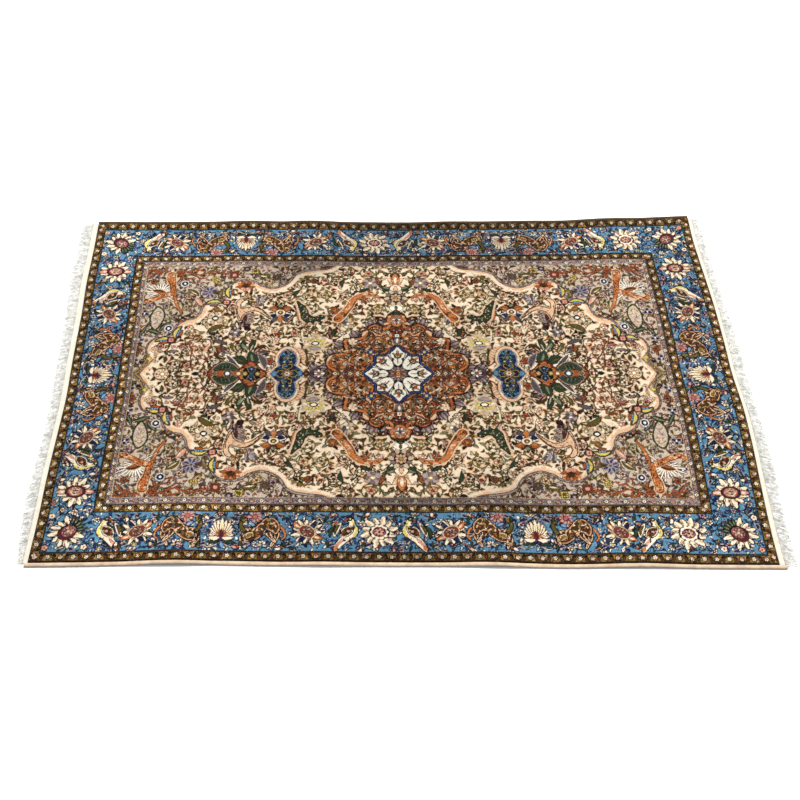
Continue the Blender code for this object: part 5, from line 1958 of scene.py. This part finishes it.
def strand(path, radius):
    """Three-sided yarn along a path of points, thinner at its tip and closed at both ends."""
    path = np.asarray(path)
    steps = len(path)
    run = np.gradient(path, axis=0)
    run /= np.linalg.norm(run, axis=1)[:, None]
    side = np.cross(run, (0.0, 0.0, 1.0))
    side /= np.linalg.norm(side, axis=1)[:, None]
    up = np.cross(side, run)
    taper = np.linspace(1.0, 0.7, steps)[:, None]
    ring = []
    for angle in STRAND_SIDES:
        c, s = polar(1.0, angle)
        ring.append(path + radius * taper * (c * side + s * up))
    vertices = np.stack(ring, axis=1).reshape(-1, 3)
    faces = []
    for i in range(steps - 1):
        for k in range(3):
            n = (k + 1) % 3
            faces.append((3 * i + k, 3 * i + n, 3 * i + 3 + n, 3 * i + 3 + k))
    faces.append((2, 1, 0))
    faces.append((3 * steps - 3, 3 * steps - 2, 3 * steps - 1))
    return vertices, faces


def make_fringe(side, material):
    """Free warps past the kilim in loose bunches, leaning and crossing each other."""
    rng = np.random.default_rng(FRINGE_SEED + side)
    reach_table = RIGHT_FRINGE_REACH if side > 0 else LEFT_FRINGE_REACH
    pitch = PILE_WIDTH / TASSELS
    share = np.linspace(0.0, 1.0, STRAND_STEPS + 1)
    swing = np.sin(math.pi * share)
    arch = np.sin(math.pi * np.clip(share * 0.85 + 0.1, 0, 1))
    vertices, faces = [], []
    for tassel in range(TASSELS):
        v = -1.0 + 2.0 * (tassel + 0.5) / TASSELS
        _, outer, y = (float(value) for value in kilim_lines(side, v))
        reach = PILE_LENGTH / 2 + float(read_table(reach_table, y))
        lean = float(read_table(FRINGE_LEAN, y)) + rng.normal(0.0, 0.06)
        length = abs(side * reach - outer)
        for number in range(STRANDS):
            own = length * rng.uniform(0.98, 1.24) + FRINGE_ROOT
            start_y = y + pitch * ((number + 0.5) / STRANDS - 0.5) * TASSEL_SPREAD
            own_lean = lean + rng.normal(0.0, 0.13)
            bow = rng.normal(0.0, 0.10) * own
            wave = rng.normal(0.0, 0.04) * own
            rise = rng.uniform(0.0, STRAND_RISE)
            strand_x = outer + side * (own * share - FRINGE_ROOT)
            strand_y = start_y - own_lean * own * share ** 1.3 + bow * swing
            strand_y = strand_y + wave * np.sin(2 * math.pi * share + rng.uniform(0, 6.28))
            strand_z = STRAND_HEIGHT + KILIM_THICKNESS * (1 - share) ** 4 + rise * arch
            path = np.column_stack([strand_x, strand_y, strand_z])
            points, sides = strand(path, STRAND_RADIUS * rng.uniform(0.8, 1.25))
            vertices.append(points)
            faces.append(sides)
    return join_parts(at_end("warp_fringe", side), vertices, faces, material,
                      at_end("fringe", side))


def join_parts(name, vertices, faces, material, node):
    """One mesh from many closed parts."""
    joined, start = [], 0
    for points, sides in zip(vertices, faces):
        joined += [tuple(index + start for index in face) for face in sides]
        start += len(points)
    piece = make_piece(name, np.vstack(vertices), joined, material, node)
    smooth_piece(piece, 80.0)
    return piece


def make_selvedge(side, name, material):
    """Overcast side cord: two warp bundles side by side, wound over with wool."""
    rng = np.random.default_rng(CORD_SEED + side)
    u = np.linspace(-1.0, 1.0, CORD_STEPS - 1)
    x, y = pile_point(u, side)
    # the front cord runs to the kilims' outer lines and the back cord to their inner lines
    which = 1 if side < 0 else 0
    first = kilim_lines(-1, np.array([float(side)]))[which][0] + (CORD_INSET if side < 0 else 0.0)
    last = kilim_lines(1, np.array([float(side)]))[which][0]
    x = np.concatenate([[first], x, [last]])
    y = np.concatenate([y[:1], y, y[-1:]]) + side * (GAP + CORD_WIDTH / 2)
    base = lift(x, side * PILE_WIDTH / 2)
    angle = 2 * math.pi * (np.arange(CORD_SIDES) + 0.5) / CORD_SIDES
    groove = 1.0 - CORD_GROOVE * np.exp(-(np.cos(angle) / 0.22) ** 2) * (np.sin(angle) > 0)
    swell = 1.0 + 0.04 * smooth_noise(1, len(x), 1, 300, rng)[0]
    swell = swell + 0.03 * smooth_noise(1, len(x), 1, 50, rng)[0]
    across = 0.5 * CORD_WIDTH * np.cos(angle)[:, None] * swell[None, :]
    height = 0.5 * CORD_HEIGHT * (1.0 + np.sin(angle)[:, None] * groove[:, None] * swell[None, :])
    height = np.maximum(height, 0.0)
    points = [np.broadcast_to(x, across.shape), y[None, :] + across, base[None, :] + height]
    return make_strip(name, np.stack(points, axis=-1), material,
                      "selvedge_front" if side < 0 else "selvedge_back", False, 60.0)


# ---------------------------------------------------------------- dyes of the knots
# Painted shade and painted light: soft darker and paler patches, as ripples and the lie of the nap catch the
# light:
# (x, y, reach along, reach across, share of light gained), in millimetres
PAINTED_SHADE_PATCHES = (
    (-320, 460, 130, 62, -0.42), (300, -450, 120, 80, -0.34), (400, 570, 150, 120, -0.28),
    (40, 640, 220, 110, -0.22), (-20, 0, 190, 190, -0.08), (-680, -590, 240, 120, 0.24),
    (-860, 560, 240, 160, 0.20), (800, -600, 240, 120, 0.20), (740, 640, 160, 50, 0.20),
    (60, 690, 420, 26, -0.58), (700, 694, 240, 22, -0.34), (-30, 500, 300, 34, -0.44),
    (0, -494, 280, 14, -0.62), (-60, -690, 300, 24, -0.30), (-20, -20, 720, 440, -0.27),
    (0, 600, 320, 70, -0.16), (-875, -60, 14, 480, 0.90), (876, 0, 12, 460, 0.30),
    (1036, 40, 13, 640, 0.36), (-640, -524, 260, 13, 0.90), (-640, 514, 260, 13, 0.18),
    (-855, -40, 8, 480, -0.50),
)
# overall level of the knots' colours, times the painted shade patches
OVERALL_LEVEL = 0.86


def painted_shade(shape):
    """Painted shade and light on each knot: an overall level times soft patches of painted shade and painted
    light.
    """
    y = HALF_WIDTH * np.linspace(-1, 1, shape[0])[:, None]
    x = HALF_LENGTH * np.linspace(-1, 1, shape[1])[None, :]
    light = np.ones(shape)
    for at_x, at_y, along, across, gain in PAINTED_SHADE_PATCHES:
        light *= 1.0 + gain * np.exp(-((x - at_x) / along) ** 2 - ((y - at_y) / across) ** 2)
    return OVERALL_LEVEL * light


def knot_colours():
    """Linear colour of each knot: its dye, uneven dyeing, and painted shade and light."""
    canvas = paint_rug()
    rng = np.random.default_rng(KNOT_SEED)
    palette = to_linear([DYES[name] for name in DYE_NAMES])
    colours = palette[canvas.dye]
    shape = canvas.dye.shape
    tone = 1.0 + KNOT_TONE * rng.normal(0.0, 1.0, shape)
    tone += ROW_TONE * smooth_noise(*shape, 300, 4, rng)
    tone += CLOUD_TONE * smooth_noise(*shape, 9, 14, rng)
    # painted shade and painted light multiply each knot's colour
    colours = colours * (tone * painted_shade(shape))[..., None]
    return np.clip(colours, 0.0, 1.0)


# ---------------------------------------------------------------- materials
def new_material(name):
    """Material with its nodes, its links and its surface shader."""
    material = bpy.data.materials.new(name)
    material.use_nodes = True
    nodes, links = material.node_tree.nodes, material.node_tree.links
    return material, nodes, links, nodes["Principled BSDF"]


def add_node(nodes, kind, **inputs):
    """Node of a kind, with its inputs set."""
    node = nodes.new(kind)
    for key, value in inputs.items():
        node.inputs[key.replace("_", " ")].default_value = value
    return node


def remap(nodes, links, source, given, wanted):
    """Values of one range mapped to another."""
    node = add_node(nodes, "ShaderNodeMapRange", From_Min=given[0], From_Max=given[1],
                    To_Min=wanted[0], To_Max=wanted[1])
    links.new(source, node.inputs["Value"])
    return node.outputs["Result"]


def product(nodes, links, first, second):
    """Two values multiplied."""
    node = nodes.new("ShaderNodeMath")
    node.operation = "MULTIPLY"
    links.new(first, node.inputs[0])
    links.new(second, node.inputs[1])
    return node.outputs["Value"]


def toned(nodes, links, colour, tone):
    """Colour made lighter or darker by a value."""
    node = nodes.new("ShaderNodeVectorMath")
    node.operation = "SCALE"
    links.new(colour, node.inputs[0])
    links.new(tone, node.inputs["Scale"])
    return node.outputs["Vector"]


def colour_mix(nodes, links, dark, share):
    """Mix of a dark colour and another, which is still to be set on its input B."""
    node = nodes.new("ShaderNodeMix")
    node.data_type = "RGBA"
    node.inputs["A"].default_value = (*to_linear(dark), 1.0)
    links.new(share, node.inputs["Factor"])
    return node


def add_bump(nodes, links, height, strength, distance):
    """Bump from a height; distance is in metres."""
    node = add_node(nodes, "ShaderNodeBump", Strength=strength, Distance=distance)
    links.new(height, node.inputs["Height"])
    return node


def finish_surface(links, shader, colour, rough, normal, specular, sheen):
    """Joins a surface's colour, roughness and normal to its shader."""
    links.new(colour, shader.inputs["Base Color"])
    links.new(rough, shader.inputs["Roughness"])
    links.new(normal, shader.inputs["Normal"])
    shader.inputs["Specular IOR Level"].default_value = specular
    shader.inputs["Sheen Weight"].default_value = sheen


def pile_material():
    """Cut wool pile: knot colours, mottled by single fibres, with painted shade in the gaps between tufts,
    tufted bump and soft sheen.
    """
    material, nodes, links, shader = new_material("rug_pile_wool")
    dye = nodes.new("ShaderNodeAttribute")
    dye.attribute_name = "dye"
    place = nodes.new("ShaderNodeTexCoord")
    fibre = add_node(nodes, "ShaderNodeTexNoise", Scale=900.0, Detail=3.0, Roughness=0.7)
    tuft = add_node(nodes, "ShaderNodeTexVoronoi", Scale=620.0, Randomness=0.85)
    wear = add_node(nodes, "ShaderNodeTexNoise", Scale=9.0, Detail=4.0, Roughness=0.6)
    for texture in (fibre, tuft, wear):
        links.new(place.outputs["Object"], texture.inputs["Vector"])
    fibre_tone = remap(nodes, links, fibre.outputs["Fac"], (0.3, 0.7), (0.82, 1.16))
    # painted shade: darker in the gaps between tufts, where the bump dips
    tuft_gap_shade = remap(nodes, links, tuft.outputs["Distance"], (0.0, 0.75), (1.08, 0.72))
    wear_tone = remap(nodes, links, wear.outputs["Fac"], (0.35, 0.65), (0.95, 1.05))
    tone = product(nodes, links, product(nodes, links, fibre_tone, tuft_gap_shade), wear_tone)
    rough = remap(nodes, links, fibre.outputs["Fac"], (0.3, 0.7), (0.82, 0.98))
    tuft_bump = add_bump(nodes, links, tuft.outputs["Distance"], 0.6, 0.0010)
    tuft_bump.invert = True
    fibre_bump = add_bump(nodes, links, fibre.outputs["Fac"], 0.5, 0.0008)
    links.new(tuft_bump.outputs["Normal"], fibre_bump.inputs["Normal"])
    colour = toned(nodes, links, dye.outputs["Color"], tone)
    finish_surface(links, shader, colour, rough, fibre_bump.outputs["Normal"], 0.06, 0.02)
    shader.inputs["Sheen Roughness"].default_value = 0.5
    return material


WAVE_SCALE = 0.31416  # scale of a wave texture whose threads are one metre apart


def weave(nodes, links, place, pitch_x, pitch_y):
    """Threads that cross at right angles."""
    threads = []
    for direction, pitch in (("Y", pitch_y), ("X", pitch_x)):
        wave = add_node(nodes, "ShaderNodeTexWave", Scale=WAVE_SCALE / pitch, Distortion=1.2, Detail=2.0)
        wave.bands_direction = direction
        links.new(place.outputs["Object"], wave.inputs["Vector"])
        threads.append(wave.outputs["Fac"])
    return product(nodes, links, *threads)


def facing_up(nodes, links):
    """0 where a surface faces down or to the side, 1 where it faces up."""
    surface = nodes.new("ShaderNodeNewGeometry")
    upward = nodes.new("ShaderNodeSeparateXYZ")
    links.new(surface.outputs["Normal"], upward.inputs["Vector"])
    return remap(nodes, links, upward.outputs["Z"], (-0.16, 0.12), (0.0, 1.0))


def woven_material(name, pitch_x, pitch_y, spots, colour=None, shade=None, lower=None):
    """Plain weave: wefts over warps as bump, with painted shade between the threads, and with slubs and
    stains.

    Without a colour it shows the dyes of the knots. Its lower side may get painted shade: a dark colour where
    it faces down or to the side.
    """
    material, nodes, links, shader = new_material(name)
    place = nodes.new("ShaderNodeTexCoord")
    cross = weave(nodes, links, place, pitch_x, pitch_y)
    slub = add_node(nodes, "ShaderNodeTexNoise", Scale=spots, Detail=5.0, Roughness=0.65)
    links.new(place.outputs["Object"], slub.inputs["Vector"])
    if colour:
        stain = remap(nodes, links, slub.outputs["Fac"], (0.3, 0.62), (0.15, 1.0))
        stained = colour_mix(nodes, links, shade, stain)
        stained.inputs["B"].default_value = (*to_linear(colour), 1.0)
        source = stained.outputs["Result"]
    else:
        dye = nodes.new("ShaderNodeAttribute")
        dye.attribute_name = "dye"
        source = dye.outputs["Color"]
    # painted shade on the lower side, where the surface faces down or to the side
    if lower:
        underside_shade = colour_mix(nodes, links, lower, facing_up(nodes, links))
        links.new(source, underside_shade.inputs["B"])
        source = underside_shade.outputs["Result"]
    # painted shade: darker between the threads, where the bump dips
    tone = remap(nodes, links, cross, (0.0, 1.0), (0.80, 1.05))
    rough = remap(nodes, links, slub.outputs["Fac"], (0.3, 0.7), (0.80, 0.96))
    bump = add_bump(nodes, links, cross, 0.7, 0.0006)
    colour = toned(nodes, links, source, tone)
    finish_surface(links, shader, colour, rough, bump.outputs["Normal"], 0.2, 0.15)
    return material


def yarn_material():
    """Loose cotton yarn: twisted plies as fine bump, off-white with soiled patches."""
    material, nodes, links, shader = new_material("rug_fringe_cotton")
    place = nodes.new("ShaderNodeTexCoord")
    soil = add_node(nodes, "ShaderNodeTexNoise", Scale=70.0, Detail=4.0, Roughness=0.6)
    ply = add_node(nodes, "ShaderNodeTexNoise", Scale=1400.0, Detail=2.0, Roughness=0.5)
    for texture in (soil, ply):
        links.new(place.outputs["Object"], texture.inputs["Vector"])
    clean = remap(nodes, links, soil.outputs["Fac"], (0.35, 0.6), (0.0, 1.0))
    mix = colour_mix(nodes, links, (200, 199, 192), clean)
    mix.inputs["B"].default_value = (*to_linear((242, 241, 236)), 1.0)
    rough = remap(nodes, links, ply.outputs["Fac"], (0.3, 0.7), (0.78, 0.95))
    bump = add_bump(nodes, links, ply.outputs["Fac"], 0.6, 0.0003)
    finish_surface(links, shader, mix.outputs["Result"], rough, bump.outputs["Normal"], 0.2, 0.2)
    return material


# ---------------------------------------------------------------- floor, light and camera
FLOOR_REACH = 14.0
FLOOR_DROP = 0.0004  # keeps the floor's face just below the rug's underside
FLOOR_TONE = 0.93
WORLD_STRENGTH = 0.62
KEY_POWER = 1120.0
KEY_SIZE = 2.6
KEY_PLACE = (1.2, 3.4, 8.2)
CAMERA_PLACE = (-0.143, -2.361, 2.760)
CAMERA_PITCH, CAMERA_YAW, CAMERA_ROLL = 50.786, 1.575, 1.092  # degrees
CAMERA_LENS, SENSOR_WIDTH = 51.39, 36.0  # millimetres
CAMERA_SHIFT = 0.03
NEAREST_SEEN = 0.05


def make_stage():
    """Plain pale floor that reaches past every view."""
    floor_mesh = bpy.data.meshes.new("floor")
    corners = [(x * FLOOR_REACH, y * FLOOR_REACH, 0) for x, y in ((-1, -1), (1, -1), (1, 1), (-1, 1))]
    floor_mesh.from_pydata(corners, [], [(0, 1, 2, 3)])
    material, _, _, shader = new_material("studio_floor")
    shader.inputs["Base Color"].default_value = (FLOOR_TONE, FLOOR_TONE, FLOOR_TONE, 1.0)
    shader.inputs["Roughness"].default_value = 0.9
    shader.inputs["Specular IOR Level"].default_value = 0.0
    floor_mesh.materials.append(material)
    floor = bpy.data.objects.new("floor", floor_mesh)
    floor.location.z = -FLOOR_DROP
    bpy.context.scene.collection.objects.link(floor)


def add_area_light(name, place, aim, size, power):
    """Round lamp at a place, turned to face an aim."""
    light = bpy.data.lights.new(name, "AREA")
    light.shape = "DISK"
    light.size = size
    light.energy = power
    lamp = bpy.data.objects.new(name, light)
    lamp.location = place
    direction = Vector(aim) - Vector(place)
    lamp.rotation_euler = direction.to_track_quat("-Z", "Y").to_euler()
    bpy.context.scene.collection.objects.link(lamp)


def make_lights():
    """Even white surroundings and one large lamp behind the rug."""
    world = bpy.data.worlds.new("studio")
    world.use_nodes = True
    background = world.node_tree.nodes["Background"]
    background.inputs["Color"].default_value = (1.0, 1.0, 1.0, 1.0)
    background.inputs["Strength"].default_value = WORLD_STRENGTH
    bpy.context.scene.world = world
    add_area_light("key", KEY_PLACE, (0.0, 0.0, 0.0), KEY_SIZE, KEY_POWER)
    view = bpy.context.scene.view_settings
    view.view_transform = "Standard"
    view.look = "None"
    view.exposure = 0.0
    view.gamma = 1.0


def make_camera():
    """Camera in front of the rug's long side, looking down on it."""
    pitch, yaw, roll = (math.radians(a) for a in (CAMERA_PITCH, CAMERA_YAW, CAMERA_ROLL))
    forward = Vector((math.sin(yaw) * math.cos(pitch), math.cos(yaw) * math.cos(pitch), -math.sin(pitch)))
    right = Vector((math.cos(yaw), -math.sin(yaw), 0.0))
    up = right.cross(forward)
    turned_right = math.cos(roll) * right + math.sin(roll) * up
    turned_up = -math.sin(roll) * right + math.cos(roll) * up
    camera = bpy.data.cameras.new("camera")
    camera.lens = CAMERA_LENS
    camera.sensor_width = SENSOR_WIDTH
    camera.shift_x = CAMERA_SHIFT
    camera.clip_start = NEAREST_SEEN
    holder = bpy.data.objects.new("camera", camera)
    columns = Matrix((turned_right, turned_up, -forward)).transposed().to_4x4()
    place = Vector(CAMERA_PLACE) + Vector((OFFSET[0], OFFSET[1], 0.0))
    holder.matrix_world = Matrix.Translation(place) @ columns
    bpy.context.scene.collection.objects.link(holder)
    bpy.context.scene.camera = holder


def main():
    colours = knot_colours()
    pile_wool = pile_material()
    kilim_cotton = woven_material("rug_kilim_cotton", 0.0016, 0.0024, 90.0, (231, 224, 208), (210, 200, 180))
    # the front cord's last colour is painted shade on its lower side
    cord_wool = woven_material("rug_cord_wool", 0.0019, 0.0058, 40.0, (222, 198, 168), (186, 158, 130),
                               (58, 42, 30))
    # painted shade: the back cord is dark for the shade along the rug's far edge; the cord itself is beige
    # like the front one
    shaded_cord_wool = woven_material("rug_cord_wool_painted_shade", 0.0019, 0.0058, 70.0, (84, 64, 40), (50, 36, 22))
    back_weave = woven_material("rug_back_weave", 0.0014, 0.0014, 60.0)
    tiles = make_pile(colours, pile_wool)
    foundation = make_foundation(colours, back_weave)
    kilims = [make_kilim(side, kilim_cotton) for side in (-1, 1)]
    yarn = yarn_material()
    fringes = [make_fringe(side, yarn) for side in (-1, 1)]
    cords = [make_selvedge(-1, "side_cord_front", cord_wool), make_selvedge(1, "side_cord_back", shaded_cord_wool)]
    make_stage()
    make_lights()
    make_camera()
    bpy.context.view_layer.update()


main()
